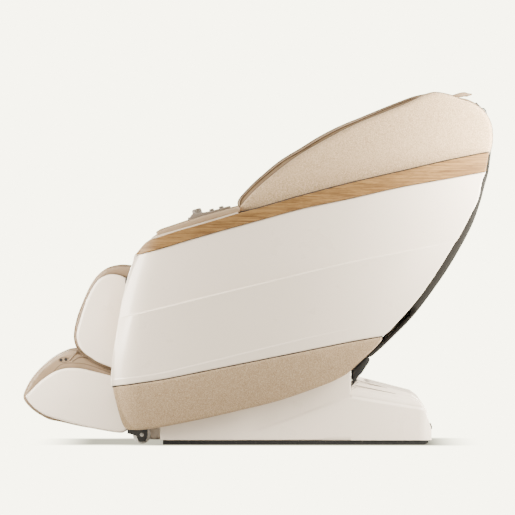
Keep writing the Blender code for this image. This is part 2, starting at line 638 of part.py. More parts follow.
def build_foot_unit():
    rod_y, rod_x = FOOT_ROD
    body("foot_unit", "legrest", (rod_y, 180))
    outline = spline(TOE_EDGE, 30)
    tools = []
    for _, side in BOTH_SIDES:
        tools.append(prism(FOOT_WELL, side * 32, side * 200))
        tools.append(box(side * 36, side * 196, -586, -534, 60, 120))
    cushion = prism(outline, -LEG_PAD_HALF + 1, LEG_PAD_HALF - 1)
    add("foot_cushion", cut(cushion, *tools), "foot_unit", "leather")
    for name, side in BOTH_SIDES:
        cover = prism(spline(TOE_COVER, 22), side * LEG_PAD_HALF, side * LEG_HALF)
        bevel(add("foot_cover_" + name, cover, "foot_unit", "gloss_white"), 6, 1)
    parts = [box(-226, 226, -426, -418, 60, 200)]
    for _, side in BOTH_SIDES:
        parts.append(rod((side * rod_x, rod_y, 110), (side * rod_x, rod_y, 470), 9, 16))
        parts.append(box(side * 104, side * 136, -420, -372, 104, 140))
    add("foot_frame", union(parts[0], *parts[1:]), "foot_unit", "steel")
    for name, side in BOTH_SIDES:
        body("foot_roller_" + name, "foot_unit", (-560, 88), side * 116)
        roller = bmesh.new()
        profile = [(40, 6), (44, 20)]
        for k in range(4):
            centre = 64 + 34.7 * k
            profile += [(centre - 10, 20), (centre - 5, 24), (centre + 5, 24), (centre + 10, 20)]
        profile += [(188, 20), (192, 6)]
        turned(roller, profile, (-560, 88), side)
        add("foot_roller_" + name, roller, "foot_roller_" + name, "wheel_grey")


def turned(bm, profile, centre, side, sides=20):
    """A solid turned about an axis along X from (distance from the middle, radius) points."""
    rings = []
    for x, radius in profile:
        points = arc(centre, radius, 0, 360 * (sides - 1) / sides, sides - 1)
        rings.append([bm.verts.new((side * x, *p)) for p in points])
    for a, b in zip(rings, rings[1:]):
        for k in range(sides):
            bm.faces.new((a[k], a[(k + 1) % sides], b[(k + 1) % sides], b[k]))
    bm.faces.new(rings[0])
    bm.faces.new(rings[-1])


def main():
    clear_scene()
    body("base")
    build_base()
    body("carriage", "base")
    build_carriage()
    body("seat", "carriage", TILT_AXIS)
    build_seat_frame()
    build_side_shell()
    build_arms()
    build_controls()
    body("backrest", "seat", RECLINE_AXIS)
    build_backrest()
    build_massage_unit()
    body("legrest", "seat", KNEE_AXIS)
    build_legrest()
    build_foot_unit()


main()
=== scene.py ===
"""Massage chair: the visual model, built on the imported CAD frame.

Side outlines are (y, z) points in millimetres in the chair's frame, and x is the distance from the middle
plane. Meshes are made in millimetres and scaled to metres as they become objects.
"""

import math

import bmesh
import bpy
import numpy as np
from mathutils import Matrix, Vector


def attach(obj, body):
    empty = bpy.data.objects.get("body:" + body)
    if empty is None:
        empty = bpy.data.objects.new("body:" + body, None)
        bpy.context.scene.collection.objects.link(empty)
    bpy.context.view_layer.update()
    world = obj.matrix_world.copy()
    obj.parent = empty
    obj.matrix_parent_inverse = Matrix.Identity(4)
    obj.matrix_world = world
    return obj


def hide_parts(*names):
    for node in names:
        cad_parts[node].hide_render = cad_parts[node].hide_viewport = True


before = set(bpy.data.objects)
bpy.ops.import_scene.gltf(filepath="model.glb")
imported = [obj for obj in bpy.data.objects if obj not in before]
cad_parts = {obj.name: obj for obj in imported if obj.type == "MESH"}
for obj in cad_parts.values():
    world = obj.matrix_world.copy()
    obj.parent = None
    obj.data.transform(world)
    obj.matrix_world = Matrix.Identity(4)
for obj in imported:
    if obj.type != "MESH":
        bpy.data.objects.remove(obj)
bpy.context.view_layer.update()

MM = 0.001
SIDES = (("left", 1), ("right", -1))
FACE = 350  # inner plane of the side shell
SHELL_HALF = 390
KNEE = (-412, 540)  # the legrest's hinge
LEG_HALF = 228  # half-width of the calf and foot pads
PRESSURE = 4.0  # of the air inside a cushion while its cover swells
CLOTH_FRAMES = 20
ARM_UP = (0, -0.284, 0.959)  # square to the armrest's top
WARM = (1, 0.955, 0.84)  # colour of all the studio light
BACKDROP = (7.4, 7.126, 5.424, 1)  # what the camera sees of the floor and the surround
PAINTED_FLOOR_SHADOWS = (  # shadows painted into the floor under the chair at fixed places: centre, half size and reach in metres, and the share of light left
    ((0, 0.12), (0.32, 0.42), 0.22, 0.03),
    ((0, -0.44), (0.26, 0.10), 0.22, 0.12),
)
CAMERA_DISTANCE = 30.0  # far enough for the view to be almost parallel
VIEW_WIDTH = 1.6995  # metres across the view at the near side panel
VIEW_CENTRE = Vector((0.39, 0.001, 0.620))
VIEW_ELEVATION = math.radians(0.6)


# ---- Shader helpers ----


def srgb(r, g, b):
    """Linear colour from 0-255 screen values."""
    def linear(c):
        c /= 255
        return c / 12.92 if c <= 0.04045 else ((c + 0.055) / 1.055) ** 2.4
    return (linear(r), linear(g), linear(b), 1)


class Finish:
    """A Principled material with helpers for adding nodes."""

    def __init__(self, name, roughness, **sockets):
        self.material = bpy.data.materials.new(name)
        self.material.use_nodes = True
        self.nodes = self.material.node_tree.nodes
        self.links = self.material.node_tree.links
        self.shader = self.nodes["Principled BSDF"]
        self.shader.inputs["Roughness"].default_value = roughness
        for socket, value in sockets.items():
            self.shader.inputs[socket.replace("_", " ")].default_value = value
        self.place = self.nodes.new("ShaderNodeTexCoord").outputs["Object"]
        self.height = None

    def add(self, kind, sockets, **settings):
        """A new node with its settings, and each input socket set or linked."""
        node = self.nodes.new("ShaderNode" + kind)
        for key, value in settings.items():
            setattr(node, key, value)
        for key, value in sockets.items():
            if isinstance(value, bpy.types.NodeSocket):
                self.links.new(value, node.inputs[key])
            else:
                node.inputs[key].default_value = value
        return node

    def stretched(self, scale, rotation):
        return self.add("Mapping", {"Vector": self.place, "Scale": scale,
                                    "Rotation": rotation}).outputs["Vector"]

    def noise(self, scale, detail=2.0, roughness=0.5, distortion=0.0, vector=None):
        return self.add("TexNoise", {"Vector": vector or self.place, "Scale": scale, "Detail": detail,
                                     "Roughness": roughness, "Distortion": distortion}).outputs["Fac"]

    def cells(self, scale):
        return self.add("TexVoronoi", {"Vector": self.place, "Scale": scale},
                        feature="SMOOTH_F1").outputs["Distance"]

    def bands(self, scale, direction, distortion):
        sockets = {"Vector": self.place, "Scale": scale, "Distortion": distortion, "Detail": 2}
        return self.add("TexWave", sockets, bands_direction=direction).outputs["Fac"]

    def ramp(self, value, stops):
        """Colours or greys by value: stops are (place, colour) pairs."""
        node = self.add("ValToRGB", {"Fac": value})
        ends = node.color_ramp.elements
        for k, (place, colour) in enumerate(stops):
            stop = ends[k] if k < 2 else ends.new(place)
            stop.position = place
            stop.color = colour if isinstance(colour, tuple) else (colour, colour, colour, 1)
        return node.outputs["Color"]

    def mix(self, a, b, factor):
        return self.add("Mix", {0: factor, 6: a, 7: b}, data_type="RGBA").outputs[2]

    def vector(self, operation, a, b=None):
        sockets = {0: a} if b is None else {0: a, 1: (*b, 0)}
        return self.add("VectorMath", sockets,
                        operation=operation).outputs[0 if operation != "LENGTH" else "Value"]

    def clear_of(self, centre, half, reach):
        """0 over a box on the floor, rising to 1 at reach metres from it."""
        away = self.vector("ABSOLUTE", self.vector("SUBTRACT", self.place, centre))
        outside = self.vector("MAXIMUM", self.vector("SUBTRACT", away, half))
        rise = {"Value": self.vector("LENGTH", outside), "From Max": reach}
        return self.add("MapRange", rise, interpolation_type="SMOOTHSTEP").outputs[0]

    def colour(self, value):
        if isinstance(value, tuple):
            self.shader.inputs["Base Color"].default_value = value
        else:
            self.links.new(value, self.shader.inputs["Base Color"])
        return self

    def rough(self, value):
        self.links.new(value, self.shader.inputs["Roughness"])
        return self

    def bump(self, value, distance, strength=1.0):
        """Bumps stack: each goes over the one before it. distance is in metres."""
        sockets = {"Height": value, "Distance": distance, "Strength": strength}
        if self.height:
            sockets["Normal"] = self.height
        self.height = self.add("Bump", sockets).outputs["Normal"]
        self.links.new(self.height, self.shader.inputs["Normal"])
        return self


def gloss_white():
    f = Finish("gloss_white", 0.3, Coat_Weight=0.35, Coat_Roughness=0.12, Specular_IOR_Level=0.45)
    tint = f.ramp(f.noise(3.0, 2), [(0.3, (0.84, 0.73, 0.63, 1)), (0.7, (0.86, 0.75, 0.65, 1))])
    f.colour(tint).rough(f.ramp(f.noise(14, 3), [(0.3, 0.27), (0.7, 0.34)]))
    return f.bump(f.noise(160, 2), 0.0003, 0.12).material


def oak():
    """Oak with straight grain along the strip, fine dark pores and a satin finish."""
    f = Finish("oak", 0.5, Specular_IOR_Level=0.35)
    lie = (math.radians(-15), 0, 0)
    growth = f.noise(3.2, 4, 0.62, 0.6, f.stretched((1, 1.4, 24), lie))
    tone = f.ramp(growth, [(0.30, (0.132, 0.0598, 0.0176, 1)), (0.44, (0.207, 0.106, 0.0326, 1)),
                           (0.56, (0.29, 0.158, 0.0537, 1)), (0.70, (0.151, 0.0704, 0.0211, 1))])
    fine = f.noise(4.5, 5, 0.75, 0.3, f.stretched((2, 1.5, 62), lie))
    streaks = f.ramp(fine, [(0.40, (0.0634, 0.0264, 0.00748, 1)), (0.56, (0.317, 0.185, 0.0686, 1))])
    tone = f.mix(tone, streaks, 0.55)
    marks = f.ramp(f.noise(5, 3, 0.6, 0, f.stretched((8, 7, 230), lie)), [(0.36, 0.75), (0.46, 0.0)])
    f.colour(f.mix(tone, (0.07, 0.030, 0.009, 1), marks)).rough(f.ramp(growth, [(0.3, 0.56), (0.7, 0.44)]))
    return f.bump(fine, 0.0004, 0.35).material


def woven(name, shade):
    """Beige speckled cloth: pale and dark yarns over a plain weave."""
    f = Finish(name, 0.92, Sheen_Weight=0.2, Sheen_Roughness=0.6, Specular_IOR_Level=0.2)
    yarn = f.ramp(f.noise(360, 3, 0.75), [(0.40, (0.26, 0.165, 0.085, 1)), (0.5, (0.56, 0.385, 0.225, 1)),
                                          (0.60, (0.92, 0.70, 0.46, 1))])
    flecks = f.ramp(f.noise(210, 2, 0.6), [(0.38, (0.38, 0.25, 0.14, 1)), (0.62, (0.74, 0.53, 0.33, 1))])
    cloud = f.ramp(f.noise(26, 3, 0.6), [(0.3, (0.52, 0.36, 0.21, 1)), (0.7, (0.62, 0.44, 0.265, 1))])
    # Mixing towards black by 1 - shade darkens the cloth: below 1 this is painted shade.
    f.colour(f.mix(f.mix(f.mix(yarn, flecks, 0.45), cloud, 0.2), (0, 0, 0, 1), 1 - shade))
    weave = f.add("Math", {0: f.bands(380, "Y", 0.6), 1: f.bands(380, "Z", 0.6)}, operation="MULTIPLY")
    f.bump(weave.outputs[0], 0.0006, 0.5)
    return f.bump(f.noise(420, 3, 0.7), 0.0008, 0.45).material


def leather(name, light, dark, rough):
    """Soft covering with a fine pebbled grain and slightly mottled colour."""
    f = Finish(name, rough, Specular_IOR_Level=0.4, Coat_Weight=0.06, Coat_Roughness=0.35)
    f.colour(f.ramp(f.noise(9, 4, 0.6), [(0.3, (*dark, 1)), (0.7, (*light, 1))]))
    f.rough(f.ramp(f.noise(60, 3), [(0.3, rough - 0.06), (0.7, rough + 0.08)]))
    f.bump(f.noise(22, 3, 0.55), 0.0016, 0.22)
    return f.bump(f.cells(620), 0.0005, 0.5).material


def plastic(name, colour, rough, grain=0.25, metallic=0.0, shine=0.5):
    f = Finish(name, rough, Metallic=metallic, Specular_IOR_Level=shine)
    low = tuple(c * 0.88 for c in colour[:3]) + (1,)
    f.colour(f.ramp(f.noise(7, 3), [(0.3, low), (0.7, colour)]))
    f.rough(f.ramp(f.noise(40, 3), [(0.3, rough - 0.05), (0.7, rough + 0.06)]))
    return f.bump(f.noise(900, 2), 0.0002, grain).material


def painted_steel():
    f = Finish("powder_coated_steel", 0.5, Metallic=0.3)
    f.colour(f.ramp(f.noise(12, 3), [(0.3, srgb(44, 44, 46)), (0.7, srgb(60, 60, 62))]))
    return f.bump(f.noise(700, 3), 0.0003, 0.4).material


def rubber():
    f = Finish("rubber", 0.82)
    f.colour(f.ramp(f.noise(30, 3), [(0.3, srgb(12, 12, 12)), (0.7, srgb(20, 19, 18))]))
    return f.bump(f.noise(600, 3), 0.0004, 0.5).material


def studio_white():
    """A sweep that looks far brighter than it lights the chair, with soft shadows painted on it where the
    chair stands.
    """
    f = Finish("studio_floor", 0.55)
    tint = f.ramp(f.noise(0.6, 2), [(0.3, (0.44, 0.43, 0.41, 1)), (0.7, (0.46, 0.45, 0.43, 1))])
    f.colour(tint)
    open_floor = BACKDROP
    # Each painted shadow darkens the floor's shown colour over a box under the chair, fading out over its
    # reach.
    for centre, half, reach, left in PAINTED_FLOOR_SHADOWS:
        shade = (*(c * left for c in BACKDROP[:3]), 1)
        open_floor = f.mix(shade, open_floor, f.clear_of(centre, half, reach))
    seen = f.add("LightPath", {}).outputs["Is Camera Ray"]
    bounce = f.add("BsdfDiffuse", {"Color": tint}).outputs[0]
    shown = f.add("Emission", {"Color": open_floor}).outputs[0]
    pick = f.add("MixShader", {0: seen, 1: bounce, 2: shown}).outputs[0]
    f.links.new(pick, f.nodes["Material Output"].inputs["Surface"])
    return f.material


WHITE = gloss_white()
OAK = oak()
CLOTH = woven("wing_fabric", 0.96)
# The skirt's cloth is the wings' cloth darkened to 0.62: painted shade under the side panel.
SKIRT_PAINTED_SHADE = woven("skirt_fabric_painted_shade", 0.62)
HIDE = leather("leather", (0.40, 0.285, 0.185), (0.33, 0.23, 0.145), 0.42)
HIDE_DEEP = leather("leather_deep", (0.27, 0.19, 0.122), (0.215, 0.148, 0.092), 0.45)
# Dark leather for piping and seams, also drawn on the gusset's folds as painted shade in their creases.
HIDE_DARK = leather("dark_piping_and_fold_shade", (0.17, 0.115, 0.07), (0.12, 0.08, 0.048), 0.55)
CREAM = leather("cream_leather", (0.74, 0.63, 0.51), (0.68, 0.57, 0.45), 0.42)
TAUPE = plastic("taupe_plastic", (0.23, 0.185, 0.15, 1), 0.42)
KNOB = plastic("knob_plastic", (0.17, 0.138, 0.11, 1), 0.36)
SHELL = plastic("graphite_shell", (0.020, 0.0185, 0.0165, 1), 0.6, 0.5, shine=0.12)
BLACK = plastic("black_plastic", srgb(30, 30, 30), 0.42)
STEEL = painted_steel()
RUBBER = rubber()
GREY = plastic("grey_tyre", srgb(206, 202, 196), 0.55)
BRIGHT = plastic("plated_screw", srgb(190, 188, 184), 0.25, 0.05, 1.0)
# Near black; in the eyelets' holes it is painted shade.
PORT = plastic("dark_recess", srgb(12, 12, 12), 0.6)
FLOOR = studio_white()


# ---- Curves ----


def spline(points, count, closed=False):
    """count points at even distances along a smooth curve through the given points."""
    p = np.asarray(points, float)
    ends = np.vstack([p[-1:], p, p[:2]]) if closed else np.vstack([p[:1], p, p[-1:]])
    t = np.linspace(0, 1, 14, endpoint=False)[:, None]
    runs = []
    for a, b, c, d in zip(ends, ends[1:], ends[2:], ends[3:]):
        bend, twist = 2 * a - 5 * b + 4 * c - d, 3 * b - 3 * c + d - a
        runs.append(0.5 * (2 * b + (c - a) * t + bend * t ** 2 + twist * t ** 3))
    fine = np.vstack(runs + [p[:1] if closed else p[-1:]])
    return resample(fine, count, closed)


def lengths_along(curve):
    """Distance from a curve's start to each of its points."""
    return np.concatenate([[0], np.cumsum(np.linalg.norm(np.diff(curve, axis=0), axis=1))])


def unit_steps(curve):
    """Unit vectors along a curve at each of its points."""
    along = np.gradient(curve, axis=0)
    return along / np.linalg.norm(along, axis=1)[:, None]


def square_to(along):
    """Side vectors turned a quarter turn."""
    return np.stack([-along[:, 1], along[:, 0]], 1)


def toward(path, centre):
    """Unit vectors from each point of a path to a centre."""
    gap = np.asarray(centre, float) - path
    return gap / np.linalg.norm(gap, axis=1)[:, None]


def at_x(path, x):
    """3-D points of a side path at x, which is one value or one for each point."""
    return np.concatenate([np.broadcast_to(np.reshape(x, (-1, 1)), (len(path), 1)), path], 1)


def arc(centre, radius, start, end, steps):
    angles = np.radians(np.linspace(start, end, steps + 1))
    return [(centre[0] + radius * math.cos(a), centre[1] + radius * math.sin(a)) for a in angles]


def resample(fine, count, closed=False):
    lengths = lengths_along(fine)
    wanted = np.linspace(0, lengths[-1], count + 1)[:-1] if closed else np.linspace(0, lengths[-1], count)
    return np.stack([np.interp(wanted, lengths, fine[:, k]) for k in range(fine.shape[1])], 1)


def at_share(curve, shares):
    lengths = lengths_along(curve)
    wanted = np.asarray(shares) * lengths[-1]
    return np.stack([np.interp(wanted, lengths, curve[:, k]) for k in range(curve.shape[1])], 1)


def patch(lower, upper, front, rear, us, vs):
    """(u, v, 2) grid of points between four edge curves."""
    us, vs = np.asarray(us), np.asarray(vs)
    low, high = (at_share(spline(c, 400), us)[:, None] for c in (lower, upper))
    near, far = (at_share(spline(c, 400), vs)[None] for c in (front, rear))
    u, v = us[:, None, None], vs[None, :, None]
    corners = (1 - u) * (1 - v) * low[0] + u * (1 - v) * low[-1] + (1 - u) * v * high[0] + u * v * high[-1]
    return (1 - v) * low + v * high + (1 - u) * near + u * far - corners


def edge_distance(points, edge, closed=False):
    """Shortest distance from each point to a polyline."""
    a = edge if closed else edge[:-1]
    b = np.roll(edge, -1, 0) if closed else edge[1:]
    flat = points.reshape(-1, 2)
    ab = b - a
    best = np.full(len(flat), 1e9)
    for start in range(0, len(flat), 4000):
        p = flat[start:start + 4000, None]
        t = np.clip(((p - a) * ab).sum(-1) / np.maximum((ab ** 2).sum(-1), 1e-9), 0, 1)
        best[start:start + 4000] = np.linalg.norm(p - (a + t[..., None] * ab), axis=-1).min(1)
    return best.reshape(points.shape[:-1])


def rounding(d, radius):
    """How far a rounded edge has dropped at distance d in from it."""
    inside = np.clip(radius - d, 0, radius)
    return radius - np.sqrt(np.maximum(radius ** 2 - inside ** 2, 0))


def smooth(x):
    x = np.clip(x, 0, 1)
    return x * x * (3 - 2 * x)


def clustered(count, near=(0, 0.0012, 0.003, 0.006, 0.011, 0.019)):
    """Shares from 0 to 1, close together near both ends."""
    near = np.array(near)
    middle = np.linspace(near[-1], 1 - near[-1], count)[1:-1]
    return np.concatenate([near, middle, 1 - near[::-1]])


# ---- Objects ----


def piece(name, vertices, faces, body, material, slot=None, angle=38):
    """A mesh object from millimetre points, riding on a body."""
    mesh = bpy.data.meshes.new(name)
    mesh.from_pydata((np.asarray(vertices, float) * MM).tolist(), [], [list(map(int, f)) for f in faces])
    bm = bmesh.new()
    bm.from_mesh(mesh)
    bmesh.ops.remove_doubles(bm, verts=bm.verts, dist=1e-6)
    bmesh.ops.dissolve_degenerate(bm, edges=bm.edges, dist=1e-6)
    bmesh.ops.recalc_face_normals(bm, faces=bm.faces)
    bm.to_mesh(mesh)
    bm.free()
    mesh.materials.append(material)
    mesh.shade_smooth()
    mesh.set_sharp_from_angle(angle=math.radians(angle))
    obj = bpy.data.objects.new(name, mesh)
    bpy.context.scene.collection.objects.link(obj)
    if body:
        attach(obj, body)
    return obj


def grid_quads(rows, columns, wrap=False, offset=0):
    faces = []
    for i in range(rows - 1):
        for j in range(columns if wrap else columns - 1):
            k = (j + 1) % columns
            faces.append([offset + i * columns + j, offset + (i + 1) * columns + j,
                          offset + (i + 1) * columns + k, offset + i * columns + k])
    return faces


def loft(rings):
    """Vertices and faces of a closed solid through rings of the same number of (x, y, z) points."""
    rings = np.asarray(rings, float)
    rows, columns = rings.shape[:2]
    faces = grid_quads(rows, columns, wrap=True)
    faces.append(list(range(columns)))
    faces.append([(rows - 1) * columns + k for k in range(columns)])
    return rings.reshape(-1, 3), faces


def plate(name, grid, outer, side, body, material, slot, inner=FACE, radius=4.0, rim=None):
    """A closed shell piece: a (u, v) grid of side points, its outer x at each, and a flat inner plane.
    Its edges are rounded all round, or only along rim."""
    nu, nv = grid.shape[:2]
    if rim is None:
        rim = np.vstack([grid[:, 0], grid[-1, 1:], grid[-2::-1, -1], grid[0, -2::-1]])
    outer = outer - rounding(edge_distance(grid, rim), radius)
    front = np.concatenate([side * outer[..., None], grid], -1).reshape(-1, 3)
    index = np.arange(nu * nv).reshape(nu, nv)
    loop = np.concatenate([index[:, 0], index[-1, 1:], index[-2::-1, -1], index[0, -2:0:-1]])
    back = front[loop].copy()
    back[:, 0] = side * inner
    count = len(loop)
    faces = grid_quads(nu, nv)
    faces += [[loop[k], loop[(k + 1) % count], nu * nv + (k + 1) % count, nu * nv + k] for k in range(count)]
    faces.append([nu * nv + k for k in range(count)])
    return piece(name, np.vstack([front, back]), faces, body, material, slot)


RIM_STEPS = (0, 0.5, 1.4, 2.8, 4.6, 7, 10, 14)  # distances in from the edge of a shield's face rings


def shield(name, outline, centre, x_in, x_out, side, body, material, slot, r_out=8.0, r_in=2.0, dome=0.0,
           rings=9,
           count=160):
    """A solid between two side planes with a rounded rim. outline is a closed list of side points, star-
    shaped about centre, and dome raises the outer face's middle."""
    edge = outline if len(outline) >= count else spline(outline, count, closed=True)
    count = len(edge)
    centre = np.asarray(centre, float)
    reach = np.linalg.norm(edge - centre, axis=1)[:, None]
    shares = [np.minimum(step / reach, 0.5) for step in RIM_STEPS]
    last = shares[-1]
    shares += [last + (1 - last) * k / rings for k in range(1, rings)]
    layers = [edge + (centre - edge) * share for share in shares]
    points = np.stack(layers)
    d = edge_distance(points, edge, closed=True)
    deep = max(d.max(), 1)

    def face(plane, radius, lift, direction):
        return plane - direction * rounding(d, radius) + direction * lift * smooth(d / deep)

    rows = []
    for x, order in ((face(x_in, r_in, 0, -1), range(len(shares) - 1, -1, -1)),
                     (face(x_out, r_out, dome, 1), range(len(shares)))):
        rows += [np.concatenate([side * x[k][:, None], points[k]], 1) for k in order]
    vertices, faces = loft(rows)
    faces = faces[:-2]
    hubs = [(row[:, 0].mean(), *centre) for row in (rows[0], rows[-1])]
    total = len(vertices)
    for hub, row in ((0, 0), (1, len(rows) - 1)):
        faces += [[row * count + k, row * count + (k + 1) % count, total + hub] for k in range(count)]
    return piece(name, np.vstack([vertices, hubs]), faces, body, material, slot)


def tube(name, path, radius, body, material, slot=None, sides=10):
    """A round cord along 3-D points, with rounded ends."""
    path = np.asarray(path, float)
    along = unit_steps(path)
    up = np.tile([1.0, 0, 0], (len(path), 1))
    up[np.abs(along[:, 0]) > 0.8] = (0, 0, 1)
    across = np.cross(along, up)
    across /= np.linalg.norm(across, axis=1)[:, None]
    up = np.cross(across, along)
    angles = np.linspace(0, 2 * math.pi, sides, endpoint=False)[:, None]

    def ring(k, r, shift=0.0):
        return path[k] + along[k] * shift + r * (np.cos(angles) * across[k] + np.sin(angles) * up[k])

    last = len(path) - 1
    rows = [ring(0, radius * 0.5, -radius * 0.8), *(ring(k, radius) for k in range(last + 1)),
            ring(last, radius * 0.5, radius * 0.8)]
    return piece(name, *loft(rows), body, material, slot, angle=60)


def ring_section(width, thickness, radius, count, crown):
    """A rounded-rectangle cross-section as (x, n) points: n runs from 0 at the face to -thickness behind."""
    half = width / 2
    corners = [(half - radius, -radius, 90), (-half + radius, -radius, 180),
               (-half + radius, -thickness + radius, 270), (half - radius, -thickness + radius, 360)]
    points = []
    for cx, cn, start in corners:
        for k in range(7):
            a = math.radians(start - 90 + 90 * k / 6)
            points.append((cx + radius * math.cos(a), cn + radius * math.sin(a)))
    points = resample(np.array(points + points[:1]), count, closed=True)
    front = smooth((points[:, 1] + thickness * 0.6) / (thickness * 0.6))
    lift = crown * np.clip(1 - (points[:, 0] / half) ** 2, 0, 1) * front
    return np.stack([points[:, 0], points[:, 1] + lift], 1)


def pad(name, face, thickness, width, body, material, slot, radius=18.0, crown=6.0, rows=60, columns=96,
        end=22.0,
        shape=None):
    """An upholstered slab along a side curve: rounded section, crowned face and rounded ends. thickness
    may be a function of the share along the curve, and shape(share, x) gives how far each point moves out
    of the face."""
    curve = spline(face, rows)
    length = np.linalg.norm(np.diff(curve, axis=0), axis=1).sum()
    extra = end * (1 - np.cos(np.linspace(0, math.pi / 2, 8)))
    shares = np.concatenate([extra / length, np.linspace(end / length, 1 - end / length, rows)[1:-1],
                             1 - extra[::-1] / length])
    curve = at_share(curve, shares)
    ease = np.minimum(shares, 1 - shares) * length
    normal = square_to(unit_steps(curve))
    rings = []
    for k, share in enumerate(shares):
        t = thickness(share) if callable(thickness) else thickness
        section = ring_section(width, t, min(radius, t * 0.48), columns, crown)
        drop = rounding(ease[k], end)
        squeeze = 1 - drop / (t / 2) * 0.92
        n = -t / 2 + (section[:, 1] + t / 2) * max(squeeze, 0.06)
        x = section[:, 0] * (1 - 0.4 * drop / width)
        if shape is not None:
            n = n + shape(share, x) * smooth((section[:, 1] + t * 0.5) / (t * 0.3))
        rings.append(at_x(curve[k] + n[:, None] * normal[k], x))
    return piece(name, *loft(rings), body, material, slot, angle=70)


def evaluated(obj):
    return obj.evaluated_get(bpy.context.evaluated_depsgraph_get())


def puff(obj, voxel, cap, hold=None):
    """Swells a pad by cloth simulation and keeps the result. No point moves more than cap millimetres,
    and where hold(points) is below 1 it moves that much less."""
    remesh = obj.modifiers.new("Remesh", "REMESH")
    remesh.mode = "VOXEL"
    remesh.voxel_size = voxel * MM
    remesh.use_smooth_shade = True
    mesh = bpy.data.meshes.new_from_object(evaluated(obj))
    obj.modifiers.clear()
    obj.data = mesh
    before = points_of(mesh)
    cloth = obj.modifiers.new("Cloth", "CLOTH")
    settings = cloth.settings
    settings.quality = 4
    settings.mass = 0.3
    settings.tension_stiffness = 25
    settings.compression_stiffness = 25
    settings.shear_stiffness = 12
    settings.bending_stiffness = 0.8
    settings.use_pressure = True
    settings.uniform_pressure_force = PRESSURE
    settings.effector_weights.gravity = 0
    scene = bpy.context.scene
    for step in range(1, CLOTH_FRAMES + 1):
        scene.frame_set(step)
    shift = points_of(evaluated(obj).to_mesh()) - before
    obj.modifiers.clear()
    scene.frame_set(1)
    length = np.linalg.norm(shift, axis=1)[:, None]
    shift *= np.minimum(1, cap * MM / np.maximum(length, 1e-9))
    if hold is not None:
        shift *= hold(before / MM)[:, None]
    mesh.vertices.foreach_set("co", (before + shift).ravel())
    finer = obj.modifiers.new("Subdivision", "SUBSURF")
    finer.levels = finer.render_levels = 1
    obj.data = bpy.data.meshes.new_from_object(evaluated(obj))
    obj.modifiers.clear()
    obj.data.shade_smooth()


def near_face(face, depth=16.0, fade=20.0):
    """Full movement near a pad's face curve, and none at its back."""
    curve = spline(face, 200)
    return lambda points: 1 - smooth((edge_distance(points[:, 1:], curve) - depth) / fade)


def sew(obj, face, seams):
    """Presses seams(s, x) millimetres into a pad's face, where s is the distance along the face curve."""
    curve = spline(face, 500)
    out = square_to(unit_steps(curve))
    lengths = lengths_along(curve)
    mesh = obj.data
    points = points_of(mesh) / MM
    normals = np.empty(len(mesh.vertices) * 3)
    mesh.vertices.foreach_get("normal", normals)
    normals = normals.reshape(-1, 3)
    place = np.concatenate([((points[k:k + 4000, None, 1:] - curve) ** 2).sum(-1).argmin(1)
                            for k in range(0, len(points), 4000)])
    facing = smooth((normals[:, 1:] * out[place]).sum(1) / 0.6)
    points[:, 1:] += out[place] * (seams(lengths[place], points[:, 0]) * facing)[:, None]
    mesh.vertices.foreach_set("co", (points * MM).ravel())
    mesh.update()


def points_of(mesh):
    points = np.empty(len(mesh.vertices) * 3)
    mesh.vertices.foreach_get("co", points)
    return points.reshape(-1, 3)


def rounded(name, outline, x0, x1, body, material, width, segments=3):
    """A side outline extruded from x0 to x1 with rounded edges."""
    bm = bmesh.new()
    face = bm.faces.new([bm.verts.new((x0 * MM, y * MM, z * MM)) for y, z in outline])
    moved = bmesh.ops.extrude_face_region(bm, geom=[face])["geom"]
    far_end = [v for v in moved if isinstance(v, bmesh.types.BMVert)]
    bmesh.ops.translate(bm, vec=((x1 - x0) * MM, 0, 0), verts=far_end)
    bmesh.ops.recalc_face_normals(bm, faces=bm.faces)
    sharp = [e for e in bm.edges if e.calc_face_angle(0) > math.radians(30)]
    bmesh.ops.bevel(bm, geom=sharp, offset=width * MM, segments=segments, affect="EDGES", profile=0.5,
                    clamp_overlap=True)
    mesh = bpy.data.meshes.new(name)
    bm.to_mesh(mesh)
    bm.free()
    mesh.materials.append(material)
    mesh.shade_smooth()
    mesh.set_sharp_from_angle(angle=math.radians(40))
    obj = bpy.data.objects.new(name, mesh)
    bpy.context.scene.collection.objects.link(obj)
    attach(obj, body)
    return obj


def block(name, xs, ys, zs, body, material, radius):
    outline = [(ys[0], zs[0]), (ys[1], zs[0]), (ys[1], zs[1]), (ys[0], zs[1])]
    return rounded(name, outline, xs[0], xs[1], body, material, radius)


def joined(objects):
    """Puts several closed pieces into the first one's mesh."""
    first = objects[0]
    bm = bmesh.new()
    for obj in objects:
        bm.from_mesh(obj.data)
    bm.to_mesh(first.data)
    bm.free()
    for obj in objects[1:]:
        bpy.data.objects.remove(obj)
    return first


def carve(obj, tool):
    """Cuts a tool's shape out of a piece and removes the tool."""
    cut = obj.modifiers.new("Cut", "BOOLEAN")
    cut.operation = "DIFFERENCE"
    cut.solver = "EXACT"
    cut.object = tool
    mesh = bpy.data.meshes.new_from_object(evaluated(obj))
    obj.modifiers.clear()
    obj.data = mesh
    bpy.data.objects.remove(tool)


def lathe(name, foot, axis, profile, body, material, slot=None, sides=48, knurl=0.0, teeth=24, low=0, high=0):
    """A turned piece: profile is (height, radius) points along an axis from foot; a knurl ripples it
    between two heights."""
    axis = Vector(axis).normalized()
    across = axis.orthogonal().normalized()
    up = axis.cross(across)
    rings = []
    for h, r in profile:
        ring = []
        for k in range(sides):
            a = 2 * math.pi * k / sides
            reach = r + (knurl * math.cos(teeth * a) if low <= h <= high else 0)
            ring.append(Vector(foot) + axis * h + (across * math.cos(a) + up * math.sin(a)) * reach)
        rings.append([tuple(p) for p in ring])
    return piece(name, *loft(rings), body, material, slot, angle=40)


# ---- Side shell ----

